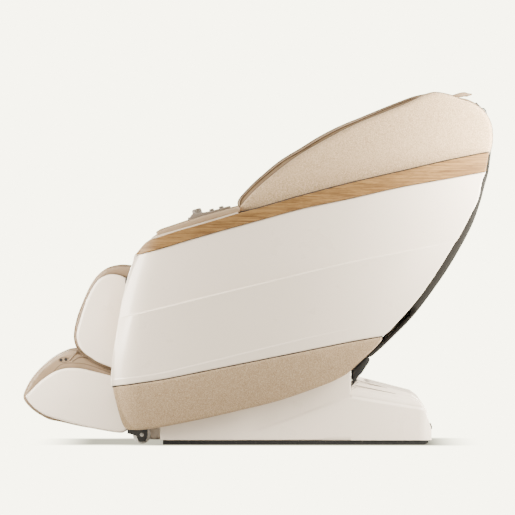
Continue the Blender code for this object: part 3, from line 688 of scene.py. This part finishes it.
PANEL_FRONT = [(-482, 194), (-484, 214), (-479, 282), (-469, 348), (-458, 416), (-446, 480), (-430, 546),
               (-417, 589), (-407, 625)]
PANEL_REAR = [(417, 361), (438, 378), (474, 417), (504, 450), (537, 490), (570, 536), (603, 586),
              (636, 640), (655, 671), (669, 691), (702, 754), (729, 810), (742, 870), (755, 903)]
PANEL_LOWER = [(-482, 194), (-321, 217), (-189, 243), (-24, 276), (141, 309), (306, 342), (417, 361)]
LOWER_CREASE = [(-484, 214), (-321, 236), (-57, 299), (205, 362), (474, 417)]
MAIN_CREASE = [(-458, 416), (-426, 424), (-354, 442), (-189, 483), (-24, 523), (141, 563), (306, 602),
               (471, 635), (655, 671)]
TRIM_LOWER = [(-407, 625), (-321, 648), (-189, 688), (9, 743), (141, 779), (306, 814), (471, 851), (636, 881),
              (755, 903)]
TRIM_UPPER = [(-399, 634), (-371, 667), (-354, 678), (-321, 688), (-255, 710), (-189, 728), (-57, 767),
              (9, 784), (141, 822), (306, 865), (471, 903), (636, 941), (765, 967)]
SKIRT_UPPER = [(-478, 191), (-321, 214), (-189, 240), (-24, 273), (141, 306), (306, 339), (413, 357)]
SKIRT_LOWER = [(-428, 51), (-387, 50), (-321, 58), (-189, 84), (-57, 114), (75, 147), (207, 193),
               (256, 213), (293, 233), (313, 249)]
SKIRT_FRONT = [(-428, 51), (-441, 62), (-453, 91), (-469, 150), (-478, 191)]
SKIRT_REAR = [(313, 249), (385, 317), (408, 342), (413, 357)]


def turned_in(y):
    """Half-width of the side shell, which turns in towards its front and rear ends."""
    front = 34 * (1 - np.clip((y - y[:1]) / 95, 0, 1)) ** 2
    rear = 25 * (1 - np.clip((y[-1:] - y) / 460, 0, 1)) ** 2
    return SHELL_HALF - front - rear


def shell_face(grid, v):
    """Outer x of the side shell over a grid whose rows run from the lower edge (v = 0) to the upper."""
    return np.maximum(turned_in(grid[..., 0]) - 7 * (2 * v - 1) ** 2, FACE + 8)


def ledge(height, width, fall):
    """Profile of a crease: full at the line, dropping over width above it and dying away below it."""
    return np.where(height > 0, 1 - smooth(height / width), np.exp(np.minimum(height, 0) / fall))


def side_shell():
    us = clustered(96)
    band_1 = patch(PANEL_LOWER, LOWER_CREASE, PANEL_FRONT[:2], PANEL_REAR[:3], us,
                   [0, 0.04, 0.1, 0.2, 0.35, 0.6, 0.8, 0.93, 1])
    band_2 = patch(LOWER_CREASE, MAIN_CREASE, PANEL_FRONT[1:5], PANEL_REAR[2:9], us,
                   [0.006, 0.012, 0.018, 0.026, *np.linspace(0.045, 0.97, 22), 0.985, 0.994, 1])
    band_3 = patch(MAIN_CREASE, TRIM_LOWER, PANEL_FRONT[4:], PANEL_REAR[8:], us,
                   [0.006, 0.012, 0.018, 0.024, 0.034, *np.linspace(0.06, 0.94, 18), 0.965, 0.98, 0.99, 0.996,
                    1])
    grid = np.concatenate([band_1, band_2, band_3], 1)
    z = grid[..., 1]
    v = (z - z[:, :1]) / (z[:, -1:] - z[:, :1])
    u = us[:, None]
    main, low = band_1.shape[1] + band_2.shape[1] - 1, band_1.shape[1] - 1
    fade = smooth(u / 0.05) * smooth((1 - u) / 0.16)
    step = 8.0 * fade * ledge(z - z[:, main:main + 1], 6.0, 120)
    lip = 1.5 * smooth((1 - u) / 0.5) * ledge(z - z[:, low:low + 1], 4.5, 40)
    outer = shell_face(grid, v) + step + lip
    vs = clustered(16, (0, 0.012, 0.03, 0.06, 0.1))
    trim = patch([(y, z + 1.2) for y, z in TRIM_LOWER], TRIM_UPPER, [(-407, 626.2), (-399, 634)],
                 [(755, 904.2), (765, 967)], us, vs)
    skirt = patch(SKIRT_LOWER, SKIRT_UPPER, SKIRT_FRONT, SKIRT_REAR, us,
                  clustered(34, (0, 0.006, 0.014, 0.028, 0.05, 0.08)))
    z = skirt[..., 1]
    height = (z - z[:, :1]) / np.maximum(z[:, -1:] - z[:, :1], 1)
    trim_face = shell_face(trim, 1) + 5.5
    low_face = shell_face(skirt, 0.1) - 0.5 - 20 * (1 - height) ** 1.6
    for name, side in SIDES:
        panel = plate("fine_side_panel_" + name, grid, outer, side, "seat", WHITE, "gloss_white", radius=3.5)
        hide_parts("side_panel_" + name)
        strip = plate("fine_wood_trim_" + name, trim, trim_face, side, "seat", OAK, "wood", radius=2.5)
        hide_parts("wood_trim_" + name)
        cover = plate("fine_lower_skirt_" + name, skirt, low_face, side, "seat", SKIRT_PAINTED_SHADE, "fabric", radius=7)
        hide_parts("lower_skirt_" + name)


def seams():
    """Dark tubes in the side shell's joints: painted shadow in the gap under the wing, and a dark seam under
    the panel.
    """
    joint = spline([(y, z + 1.5) for y, z in SKIRT_UPPER], 120)
    x = np.maximum(turned_in(joint[:, 0]) - 13, FACE + 3)
    top = spline([(-62, 768), *[(y, z + 1) for y, z in TRIM_UPPER[7:]]], 120)
    for name, side in SIDES:
        tube("skirt_joint_" + name, at_x(joint, side * x), 2.6, "seat", BLACK)
        # Along the wood's top edge a black tube is painted shadow in the gap below the wing.
        tube("trim_gap_shadow_" + name, at_x(top, side * 353.0), 2.4, "seat", BLACK)


# ---- Wings of the backrest ----

WING_EDGE = [(-60, 782), (-47, 800), (-24, 826), (9, 858), (75, 913), (141, 961), (219, 1006), (306, 1052),
             (405, 1094), (471, 1120), (518, 1141), (545, 1154), (587, 1165), (636, 1157), (669, 1145),
             (702, 1134), (729, 1120), (751, 1101), (768, 1074), (777, 1041), (776, 992), (766, 962)]
WING_HIDDEN = [(738, 910), (640, 885), (471, 855), (306, 815), (141, 775), (9, 757), (-34, 759), (-59, 768)]
LINER_EDGE = [(-63, 790), (-66, 800), (-57, 817), (-24, 853), (9, 884), (75, 939), (141, 980), (207, 1021),
              (273, 1055), (339, 1082), (405, 1109), (471, 1135), (530, 1155), (587, 1160), (669, 1139),
              (731, 1097), (749, 1040), (747, 975)]
LINER_HIDDEN = [(735, 930), (420, 560), (250, 465), (160, 452), (95, 528), (0, 672), (-48, 762)]


def wings():
    edge = spline(WING_EDGE + WING_HIDDEN, 300, closed=True)
    inner = spline(LINER_EDGE + LINER_HIDDEN, 300, closed=True)
    wing_middle, lining_middle = (400, 950), (300, 860)
    brim, rim = spline(WING_EDGE, 200), spline(LINER_EDGE[:-3], 200)
    for name, side in SIDES:
        wing = shield("upholstered_wing_" + name, edge, wing_middle, 303, 342, side, "backrest", CLOTH,
                      "fabric",
                      r_out=15, r_in=8, dome=3, rings=16)
        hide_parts("shoulder_wing_" + name)
        welt = at_x(brim + toward(brim, wing_middle), side * 328.0)
        tube("wing_welt_" + name, welt, 3.0, "backrest", HIDE_DARK, "leather")
        lining = shield("wing_lining_" + name, inner, lining_middle, 262, 299, side, "backrest", HIDE,
                        "leather",
                        r_out=13, r_in=15, dome=0, rings=16)
        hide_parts("wing_liner_" + name)
        for label, inset, x, radius in (("rim", 2.2, 292, 2.2), ("seam", 9.5, 298.5, 2.0)):
            line = at_x(rim + toward(rim, lining_middle) * inset, side * x)
            tube(f"lining_{label}_{name}", line, radius, "backrest", HIDE_DARK, "leather")


# ---- Arms and controls ----


def arms():
    body_edge = [(-62, 770), (-344, 690), (-364, 668), (-398, 610), (-438, 480), (-460, 348), (-464, 308),
                 (60, 332), (104, 440), (72, 525), (-66, 757)]
    lip = [(-365, 667), (-357, 677), (-341, 689), (-325, 694), (-189, 733.5), (-64, 770), (-61, 764),
           (-189, 727), (-321, 687), (-352, 677)]
    pad_face = [(-336, 699), (-329, 707), (-288, 721), (-222, 743), (-150, 765), (-60.5, 789)]
    for name, side in SIDES:
        core = rounded("arm_body_" + name, body_edge, side * 266, side * 349, "seat", HIDE, 9, 4)
        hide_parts("arm_core_" + name)
        rounded("arm_lip_" + name, lip, side * 352, side * 378, "seat", CREAM, 3, 3)
        rest = pad("arm_pad_" + name, pad_face, 20, 104, "seat", HIDE, "leather", radius=7, crown=1, rows=40,
                   end=6)
        for v in rest.data.vertices:
            v.co.x += side * 318 * MM
        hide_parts("armrest_pad_" + name)
        seam = spline([(-332, 702), (-288, 718.5), (-222, 740.5), (-150, 762), (-66, 785)], 60)
        for x in (275, 361):
            tube(f"arm_seam_{name}_{x}", at_x(seam + (0, 1.8), side * x), 1.3, "seat", HIDE_DARK, "leather")


def controls():
    edge = [(-226, 741.5), (-224.5, 750), (-218, 760), (-211, 766), (-182, 768), (-150, 774), (-92, 790.5),
            (-87.5, 789), (-87, 783), (-189, 752)]
    pod = rounded("control_panel", edge, 287, 347, "seat", TAUPE, 2.4, 3)
    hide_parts("control_pod")
    block("control_panel_nose", (296, 338), (-229, -215), (743, 752), "seat", BLACK, 2)
    knob = [(1.5, 2), (1.5, 19.4), (3.4, 19.4), (5.0, 16.4), (6.5, 16), (17.5, 15.4), (19.2, 14.6),
            (20, 13.4), (20.2, 8), (19.8, 2)]
    foot = (317, -196, 760)
    dial = lathe("control_knob", foot, ARM_UP, knob, "control_dial", KNOB, "dark_plastic", sides=144,
                 knurl=0.35, teeth=36, low=6, high=17.6)
    lathe("control_knob_cap", foot, ARM_UP, [(19.6, 1), (19.6, 12), (20.8, 11.6), (21, 10.6), (21, 1)],
          "control_dial", BLACK, sides=64)
    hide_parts("control_dial")
    cap = [(0.6, 1), (0.6, 7.6), (1.2, 8), (6.4, 8), (7.5, 7.2), (8, 5.6), (7.9, 1)]
    for k, (y, z) in enumerate(((-150, 772.5), (-118, 781.5)), 1):
        key = lathe(f"control_button_{k}", (317, y, z), ARM_UP, cap, f"key_{k}", KNOB, "dark_plastic",
                    sides=48)
        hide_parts(f"control_key_{k}")


def dress(node, material):
    """A CAD piece keeps its shape and takes this material."""
    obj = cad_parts[node]
    obj.data.materials.clear()
    obj.data.materials.append(material)


# ---- Cushions ----


def groove(x, centre, width, depth):
    return -depth * np.exp(-((x - centre) / width) ** 2)


def seat_cushion():
    face = [(-352, 500), (-354, 528), (-340, 552), (-300, 561), (-240, 557), (-100, 520), (40, 469),
            (100, 438), (150, 414), (222, 400)]

    def shape(_, x):
        return 12 * smooth((np.abs(x) - 165) / 40) - 5

    def seams(s, x):
        across = sum(groove(s, place, 5, 6) for place in (150, 330)) * smooth((172 - np.abs(x)) / 6)
        return across + groove(np.abs(x), 168, 5, 8)

    made = pad("seat_pad", face, 62, 486, "seat", HIDE, "leather", radius=24, crown=3, rows=110, columns=200,
               end=26,
               shape=shape)
    puff(made, 6.0, 14, near_face(face, 20))
    sew(made, face, seams)
    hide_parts("seat_cushion")


def back_cushion():
    face = [(128, 470), (190, 572), (350, 772), (520, 1000), (590, 1094), (625, 1133), (662, 1147),
            (705, 1136), (732, 1116), (748, 1094)]
    length = 905.0

    def thickness(share):
        return 60 - 34 * float(smooth((share * length - 690) / 60))

    def shape(share, x):
        s = share * length
        below_head = smooth((700 - s) / 60)
        return 8 * smooth((np.abs(x) - 150) / 40) * smooth((s - 30) / 60) * below_head - 4 * below_head

    def seams(s, x):
        across = sum(groove(s, place, 5, 7) for place in (120, 240, 360, 480,
                                                          600)) * smooth((154 - np.abs(x)) / 6)
        return across + groove(np.abs(x), 150, 5, 8) * smooth((720 - s) / 30)

    def hold(points):
        return near_face(face)(points) * smooth((1120 - points[:, 2]) / 50)

    made = pad("back_pad", face, thickness, 496, "backrest", HIDE, "leather", radius=22, crown=3, rows=170,
               columns=200, end=20, shape=shape)
    puff(made, 6.0, 12, hold)
    sew(made, face, seams)
    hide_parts("back_cushion")


def head_pillow():
    face = [(487, 962), (502, 984), (540, 1035), (575, 1083), (590, 1106)]

    def thickness(share):
        return 24 + 26 * math.sin(math.pi * min(max(share, 0.02), 0.98)) ** 0.6

    def seams(s, x):
        return groove(np.abs(x), 96, 4, 4) + groove(s, 84, 4, 3) * smooth((98 - np.abs(x)) / 5)

    made = pad("pillow", face, thickness, 284, "head_pillow", HIDE, "leather", radius=22, crown=2, rows=40,
               columns=110, end=12)
    puff(made, 5.0, 8)
    sew(made, face, seams)
    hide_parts("head_pillow")


def inner_part(points):
    """Full movement in the wells, and none at the sides, where the covers sit."""
    return smooth((205 - np.abs(points[:, 0])) / 30)


def leg_pad(name, body, plain, deep, divider, wall, slope, middle):
    """A leg pad with two wells: the deep side outline in the wells, and the plain one at the divider and
    the walls. The wells begin at |x| = divider and end at wall, over slope. Between the covers the
    outline is drawn in a little, where the cover is free to swell."""
    near = [step - LEG_HALF for step in (0, 0.4, 1.5, 3.5, 7, 12)]
    rings = []
    for x in [*near, *np.linspace(-210, 210, 106), *(-x for x in near[::-1])]:
        depth = smooth((abs(x) - divider) / slope) * smooth((wall - abs(x)) / slope)
        ring = plain + (deep - plain) * depth
        drop = rounding(LEG_HALF - abs(x), 12) + 4.5 * smooth((205 - abs(x)) / 30)
        rings.append(at_x(ring + toward(ring, middle) * drop, x))
    made = piece(name, *loft(rings), body, HIDE_DEEP, "leather", angle=70)
    puff(made, 6.0, 5, inner_part)
    return made


def calf_cushion():
    outer = [*arc(KNEE, 47, -88, 75, 12), (-430, 589), (-463, 590), (-509, 577), (-545, 541), (-575, 481),
             (-601, 408), (-608, 355), (-603, 331), (-590, 311), (-552, 283), (-500, 262), (-440, 243),
             (-408, 240), (-400, 300), (-404, 440)]
    edge = spline(outer, 180, closed=True)
    well = edge.copy()
    floor = np.interp(edge[:, 1], [220, 620], [-457, -474])
    front = edge[:, 0] < floor
    well[front, 0] = floor[front]
    made = leg_pad("calf_pad", "legrest", edge, well, 30, 188, 22, (-500, 410))
    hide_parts("calf_cushion")


def foot_cushion():
    rear = [(-429, 60), (-429, 140), (-430, 214), (-436, 226)]
    cavity = [(-452, 226), (-453, 160), (-456, 106), (-500, 103), (-560, 108), (-640, 118), (-690, 129),
              (-728, 150), (-736, 168), (-729, 196), (-702, 232), (-650, 272), (-606, 294), (-594, 303)]
    level = [(-452, 231), (-500, 250), (-550, 276), (-594, 303)]
    toe = [(-602, 310), (-624, 309), (-651, 299), (-684, 281), (-717, 254), (-740, 229), (-760, 200),
           (-773, 173), (-777, 157), (-773, 143), (-756, 122), (-733, 103), (-707, 88), (-690, 80),
           (-651, 72), (-585, 57), (-519, 47), (-440, 41), (-430, 46)]
    ends = spline(rear, 20), spline(toe, 110)
    deep = np.vstack([ends[0], spline(cavity, 90), ends[1]])
    plain = np.vstack([ends[0], resample(np.array(level, float), 90), ends[1]])
    made = leg_pad("foot_pad", "foot_unit", plain, deep, 26, 206, 20, (-590, 170))
    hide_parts("foot_cushion")


# ---- Leg covers ----


CALF_SIDE = [(-586, 316), (-595, 334), (-599, 357), (-596, 381), (-589, 408), (-579, 441), (-566, 477),
             (-552, 507), (-539, 529), (-524, 547), (-507, 557), (-486, 563), (-463, 561), (-443, 554),
             (-430, 540), (-424, 480), (-422, 300), (-428, 250), (-440, 243), (-483, 254), (-529, 272),
             (-550, 286), (-570, 299)]
FOOT_SIDE = [(-768, 157), (-760, 167), (-740, 188), (-717, 210), (-684, 233), (-661, 244), (-634, 251),
             (-611, 252), (-585, 250), (-552, 243), (-519, 235), (-486, 226), (-440, 214), (-430, 190),
             (-430, 60), (-440, 40), (-460, 37), (-519, 46), (-585, 60), (-651, 78), (-690, 90),
             (-717, 103), (-741, 121), (-757, 138), (-766, 152)]


def leg_covers():
    for name, side in SIDES:
        for part, outline, middle, body in (("calf", CALF_SIDE, (-510, 400), "legrest"),
                                            ("foot", FOOT_SIDE, (-580, 150), "foot_unit")):
            cover = shield(f"{part}_side_{name}", outline, middle, 229, 246, side, body, WHITE, "gloss_white",
                           r_out=9,
                           dome=3)
            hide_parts(f"{part}_cover_{name}")


def leg_details():
    """Piping round the white covers, the gusset's folds as dark cords whose colour is painted shade in the
    creases, and its eyelets.
    """
    calf_edge = spline([*CALF_SIDE[-5:], *CALF_SIDE[:14]], 130)
    toe_top = spline([(-552, 241), (-585, 248), (-611, 250), (-634, 249), (-661, 242), (-684, 231),
                      (-717, 208),
                      (-740, 186), (-760, 165), (-767, 155), (-757, 137), (-741, 120), (-717, 102),
                      (-690, 89),
                      (-651, 77)], 130)
    folds = [([(-599, 305), (-611, 291), (-622, 278)], 3.4),
             ([(-564, 290), (-589, 288), (-603, 281), (-612, 274)], 2.8),
             ([(-676, 240), (-647, 265), (-600, 268), (-556, 261), (-486, 235), (-440, 224)], 1.7),
             ([(-627, 274), (-640, 271), (-654, 273), (-658, 279), (-652, 285), (-636, 287), (-626, 283)],
              2.0)]
    ring = [(0, 2.2), (1.6, 2.4), (2.4, 4.4), (1.8, 7), (0, 7.4)]
    hole = [(1.2, 0.6), (3, 5.2), (3.2, 0.6)]
    for name, side in SIDES:
        for label, path, body, beyond, x in (("calf_piping", calf_edge, "legrest", 1.6, 231.5),
                                             ("calf_seam", calf_edge, "legrest", 9.5, 222.0),
                                             ("foot_piping", toe_top, "foot_unit", 1.6, 231.5)):
            out = path - toward(path, path.mean(0)) * beyond
            tube(f"{label}_{name}", at_x(out, side * x), 2.3, body, HIDE_DARK, "leather")
        # The fold cords are raised folds, and their dark colour is painted shade in the creases.
        for k, (fold, radius) in enumerate(folds):
            path = at_x(spline(fold, 50), side * 227.0)
            tube(f"gusset_fold_shade_{k}_{name}", path, radius, "foot_unit", HIDE_DARK, "leather")
        for k, (y, z) in enumerate(((-651, 278), (-635, 280))):
            foot = (side * 225.5, y, z)
            lathe(f"eyelet_{name}_{k}", foot, (side, 0, 0), ring, "foot_unit", BRIGHT, sides=28)
            # A near-black plug inside the ring is painted shade in the eyelet's hole.
            lathe(f"eyelet_hole_shade_{name}_{k}", foot, (side, 0, 0), hole, "foot_unit", PORT, sides=20)


# ---- Back shell ----


BACK_LINE = [(361, 293), (374, 287), (409, 315), (443, 348), (510, 418), (577, 505), (642, 601), (706, 717),
             (737, 800), (752, 856), (765, 902), (771, 940), (775, 975), (777, 1010), (772, 1060),
             (758, 1096)]


def back_shell():
    """A smooth hard cover behind the back, with cheeks that turn forward between the side panels."""
    face = spline(BACK_LINE, 110)
    arcs = np.linspace(0, math.pi / 2, 7)
    rings = []
    for p, n in zip(face, square_to(unit_steps(face))):
        z = p[1]
        half = min(max(240 + (z - 330) * 0.9, 240), 342) - 46 * float(smooth((z - 885) / 55))
        cheek = 12 + 58 * float(smooth((z - 425) / 40) * smooth((885 - z) / 25))
        corner = [(half - 12 + 12 * math.sin(a), 12 - 12 * math.cos(a)) for a in arcs]
        flat = [(x, 0) for x in np.linspace(0, half - 16, 14)]
        outer = flat + corner + [(half, cheek * 0.6), (half, cheek)]
        inner = [(half - 7, cheek), (half - 7, 13)] + [(x, 9.5) for x in np.linspace(half - 12, 0, 12)]
        run = np.array(outer + inner)
        whole = np.vstack([run, run[::-1] * (-1, 1)])
        rings.append(at_x(p + n * whole[:, 1:], whole[:, 0]))
    made = piece("back_cover", *loft(rings), "backrest", SHELL, "dark_plastic", angle=50)
    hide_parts("back_shell")
    cheek = [(317, 207), (316, 246), (345, 272), (362, 289), (372, 287), (373, 277), (347, 236)]
    for name, side in SIDES:
        rounded("lower_cover_cheek_" + name, cheek, side * 262, side * 290, "backrest", PORT,
                3, 3)


def head_end():
    """The leather hood over the top of the back, its zip, and the pillow's loose flap."""
    over = [(628, 1142), (655, 1148), (678, 1147), (702, 1141), (729, 1126), (746, 1106), (758, 1093)]
    hood = pad("head_hood", over, 9, 512, "backrest", HIDE_DEEP, "leather", radius=4, crown=0, rows=44, end=3)
    edge = spline([(726, 1130), (744, 1111), (757, 1098)], 24)
    for name, side in SIDES:
        tube("head_zip_" + name, at_x(edge, side * 246.0), 3.2, "backrest", BLACK)
    pull = spline([(746, 1112), (752, 1112), (758, 1104), (760, 1094)], 20)
    tube("head_zip_pull", at_x(pull, 238.0), 2.0, "backrest", BLACK)

    def thickness(share):
        return 5 + 10 * float(smooth(share / 0.6) * smooth((1.02 - share) / 0.25))

    folded = [(600, 1124), (622, 1144), (643, 1155), (668, 1164), (689, 1168), (704, 1164), (716, 1163)]
    flap = pad("pillow_flap", folded, thickness, 220, "backrest", HIDE_DEEP, "leather", radius=3, crown=0,
               rows=44,
               end=2)
    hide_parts("pillow_strap")
    # A black cord in the gap under the flap is painted shadow.
    gap = spline([(660, 1155), (676, 1157), (700, 1156)], 16)
    tube("flap_gap_shadow", at_x(gap, 104.0), 3.6, "backrest", BLACK)


# ---- Base ----


BASE_TOP = [(-321, 72), (-60, 135), (150, 203), (310, 248)]
HOOD_TOP = [(310, 188), (334, 214), (514, 167), (537, 150), (560, 117), (570, 71), (577, 51)]
SWEEP = [(-321, 17), (-90, 17.5), (-57, 19), (141, 91), (273, 140), (313, 150), (554, 111), (570, 70),
         (577, 45)]
FLARE = 0.15  # how far the base's side leans in, for each unit of height below the sweep line
HOOD_LEAN = 0.6  # and the hood's side, for each unit of height above it


def line_at(points, y):
    ys, zs = np.array(points, float).T
    return np.interp(y, ys, zs)


def base_side_x(y, z):
    """Half-width of the base: flared below the sweep line, upright above it, with a soft bead along the
    line."""
    sweep = line_at(SWEEP, y)
    shoulder = 7 * smooth((z - sweep) / 13) * smooth((y + 95) / 120)
    return 330 - FLARE * (np.minimum(z, sweep) - 15) - shoulder


def base_walls():
    ys = np.concatenate([[-321, -320.4, -319, -316, -311], np.linspace(-304, 300, 100), [304, 307, 309, 310]])
    sweep, top = line_at(SWEEP, ys), line_at(BASE_TOP, ys)
    low = [15 + (sweep - 15) * k for k in (0, 0.04, 0.12, 0.3, 0.6, 0.85, 0.95)]
    step = np.minimum(15, (top - sweep) * 0.2)  # fine rows over the bead
    bead = [sweep + step * k for k in (0, 0.1, 0.22, 0.36, 0.5, 0.64, 0.78, 0.9, 1)]
    high = [sweep + (top - sweep) * k for k in (0.3, 0.5, 0.7, 0.85, 0.93, 0.98, 1)]
    zs = np.stack(low[:-1] + bead + high, 1)
    grid = np.stack([np.repeat(ys[:, None], zs.shape[1], 1), zs], -1)
    outer = base_side_x(grid[..., 0], zs)
    rim = np.vstack([grid[::-1, 0], grid[0, 1:], grid[1:, -1], grid[-1, -2:len(low) + 2:-1]])
    walls = [plate("base_wall_" + name, grid, outer, side, "base", WHITE, "gloss_white", inner=296, radius=3,
                   rim=rim)
             for name, side in SIDES]
    front = block("base_front", (-316, 316), (-321, -303), (15, 70), "base", WHITE, 3)
    nose = block("base_nose", (-258, 258), (-360, -318), (15, 62), "base", WHITE, 9)
    shell = joined(walls + [front, nose])
    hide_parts("base_shell")


def base_hood():
    """The raised cover behind the base's walls, with shallow steps along its top and a pocket for the
    inlet."""
    rings = []
    ends = [310, 310.6, 312, 315, 320], [564, 567, 570, 572.5, 574.5, 576, 577]
    for y in np.concatenate([ends[0], np.linspace(326, 560, 60), ends[1]]):
        top = line_at(HOOD_TOP, y)
        sweep = min(line_at(SWEEP, y), top - 18)
        pulled = float(rounding(np.array(577 - y), 42))
        side = []
        for z in np.concatenate([[15, 16, 18, 24], np.linspace(32, sweep - 8, 8),
                                 sweep + np.linspace(-4, 14, 10)]):
            side.append((float(base_side_x(y, z)) - pulled * 0.8, z))
        x, z = side[-1]
        for share in (0.12, 0.24, 0.3, 0.36, 0.44, 0.52, 0.57, 0.63, 0.7, 0.78, 0.83, 0.89, 0.95, 1):
            steps = sum(2.6 * float(smooth((share - at) / 0.055)) for at in (0.3, 0.57, 0.83))
            side.append((x - HOOD_LEAN * share * (top - z) - steps, z + share * (top - z)))
        x, z = side[-1]
        dip = 8 * float(smooth((375 - y) / 20))  # clears the lower back cover when the seat tilts
        side += [(x - 2, z + 0.1), (x - 8, z + 0.2), (x - 20, z + 0.2 - dip), (x * 0.5, z + 0.2 - dip)]
        half = np.array(side)
        whole = np.vstack([half, half[::-1] * (-1, 1)])
        rings.append(np.insert(whole, 1, y, axis=1))
    hood = piece("base_hood", *loft(rings), "base", WHITE, "gloss_white", angle=30)
    carve(hood, block("inlet_pocket", (-61, 61), (563, 600), (37, 62), "base", PORT, 1))
    for k, (a, b, x) in enumerate((((332, 211), (514, 165), 272), ((324, 196), (492, 160), 284))):
        line = resample(np.array([a, b], float), 30)
        for name, side in SIDES:
            tube(f"hood_line_{k}_{name}", at_x(line, side * x), 1.1, "base", TAUPE, "dark_plastic")
    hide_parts("base_rear_hood")


def casters():
    bolt = [(0, 1), (0, 7), (1.6, 7), (2.6, 6.2), (2.8, 1)]
    tyre = [(-11, 6), (-11, 24), (-9.5, 28), (-6.5, 29.7), (0, 30), (6.5, 29.7), (9.5, 28), (11, 24), (11, 6)]
    for name, side in SIDES:
        lathe("caster_bolt_" + name, (side * 290.6, -382, 32), (side, 0, 0), bolt, "base", BRIGHT, sides=32)
        wheel = lathe("caster_tyre_" + name, (side * 273, -382, 32), (1, 0, 0), tyre, "caster_" + name, GREY,
                      "wheel_grey", sides=64)
        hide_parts("caster_wheel_" + name)


def carried():
    """CAD pieces that keep their shape."""
    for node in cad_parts:
        if node in ("base_frame", "seat_carriage", "seat_frame", "back_frame", "kneading_shaft",
                    "foot_frame"):
            dress(node, STEEL)
        elif node.startswith("floor_strip"):
            dress(node, RUBBER)
        elif node.startswith(("caster_bracket", "control_box", "slide_actuator", "power_", "lower_back_cover",
                              "massage_carriage", "massage_arm", "legrest_frame", "recline_gearmotor")):
            dress(node, BLACK)
        elif node.startswith(("massage_roller", "foot_roller")):
            dress(node, GREY)


# ---- Studio ----


LAMPS = [  # name, place, aim, width, height, power in watts
    ("front_strip", (0.85, -1.3, 0.8), (0.36, -0.45, 0.5), 0.4, 1.0, 26),
    ("front_near_strip", (0.62, -1.0, 0.6), (0.36, -0.47, 0.4), 0.3, 0.9, 13),
    ("rear_near_strip", (0.72, 1.15, 1.15), (0.34, 0.72, 0.95), 0.3, 0.7, 48),
    ("rear_low_box", (0.7, 1.5, 0.6), (0.3, 0.5, 0.15), 0.5, 0.5, 42),
    ("overhead", (0.5, 0.1, 3.0), (0, 0, 0.5), 2.4, 2.4, 72),
]


def studio():
    """Pale floor, soft light from both ends and above, mirrored on the far side, and a plain bright
    surround."""
    mesh = bpy.data.meshes.new("studio_floor")
    reach = 60
    mesh.from_pydata([(-reach, -reach, 0), (reach, -reach, 0), (reach, reach, 0), (-reach, reach, 0)], [],
                     [[0, 1, 2, 3]])
    mesh.materials.append(FLOOR)
    floor = bpy.data.objects.new("studio_floor", mesh)
    bpy.context.scene.collection.objects.link(floor)
    world = bpy.context.scene.world or bpy.data.worlds.new("studio")
    bpy.context.scene.world = world
    world.use_nodes = True
    tree = world.node_tree
    background = tree.nodes["Background"]
    background.inputs["Color"].default_value = (*WARM, 1)
    background.inputs["Strength"].default_value = 0.12
    bright = tree.nodes.new("ShaderNodeBackground")
    bright.inputs["Color"].default_value = BACKDROP
    seen = tree.nodes.new("ShaderNodeLightPath").outputs["Is Camera Ray"]
    pick = tree.nodes.new("ShaderNodeMixShader")
    tree.links.new(seen, pick.inputs[0])
    tree.links.new(background.outputs[0], pick.inputs[1])
    tree.links.new(bright.outputs[0], pick.inputs[2])
    tree.links.new(pick.outputs[0], tree.nodes["World Output"].inputs["Surface"])
    for name, place, aim, width, height, power in LAMPS:
        for side in (1, -1) if name != "overhead" else (1,):
            light = bpy.data.lights.new(name, "AREA")
            light.shape = "RECTANGLE"
            light.size, light.size_y = width, height
            light.energy = power
            light.color = WARM
            obj = bpy.data.objects.new(name + ("" if side > 0 else "_far"), light)
            bpy.context.scene.collection.objects.link(obj)
            obj.visible_camera = False
            obj.location = (side * place[0], place[1], place[2])
            toward = Vector((side * aim[0], aim[1], aim[2])) - obj.location
            obj.rotation_euler = toward.to_track_quat("-Z", "Y").to_euler()


def camera():
    data = bpy.data.cameras.new("camera")
    data.sensor_width = 36
    data.lens = data.sensor_width * CAMERA_DISTANCE / VIEW_WIDTH
    data.clip_end = 200
    obj = bpy.data.objects.new("camera", data)
    bpy.context.scene.collection.objects.link(obj)
    away = Vector((math.cos(VIEW_ELEVATION), 0, math.sin(VIEW_ELEVATION)))
    obj.location = VIEW_CENTRE + away * CAMERA_DISTANCE
    obj.rotation_euler = (-away).to_track_quat("-Z", "Y").to_euler()
    bpy.context.scene.camera = obj


for build in (camera, studio, side_shell, seams, wings, arms, controls, seat_cushion, back_cushion,
              head_pillow, head_end,
              calf_cushion, foot_cushion, leg_covers, leg_details, back_shell, base_walls, base_hood, casters,
              carried):
    build()
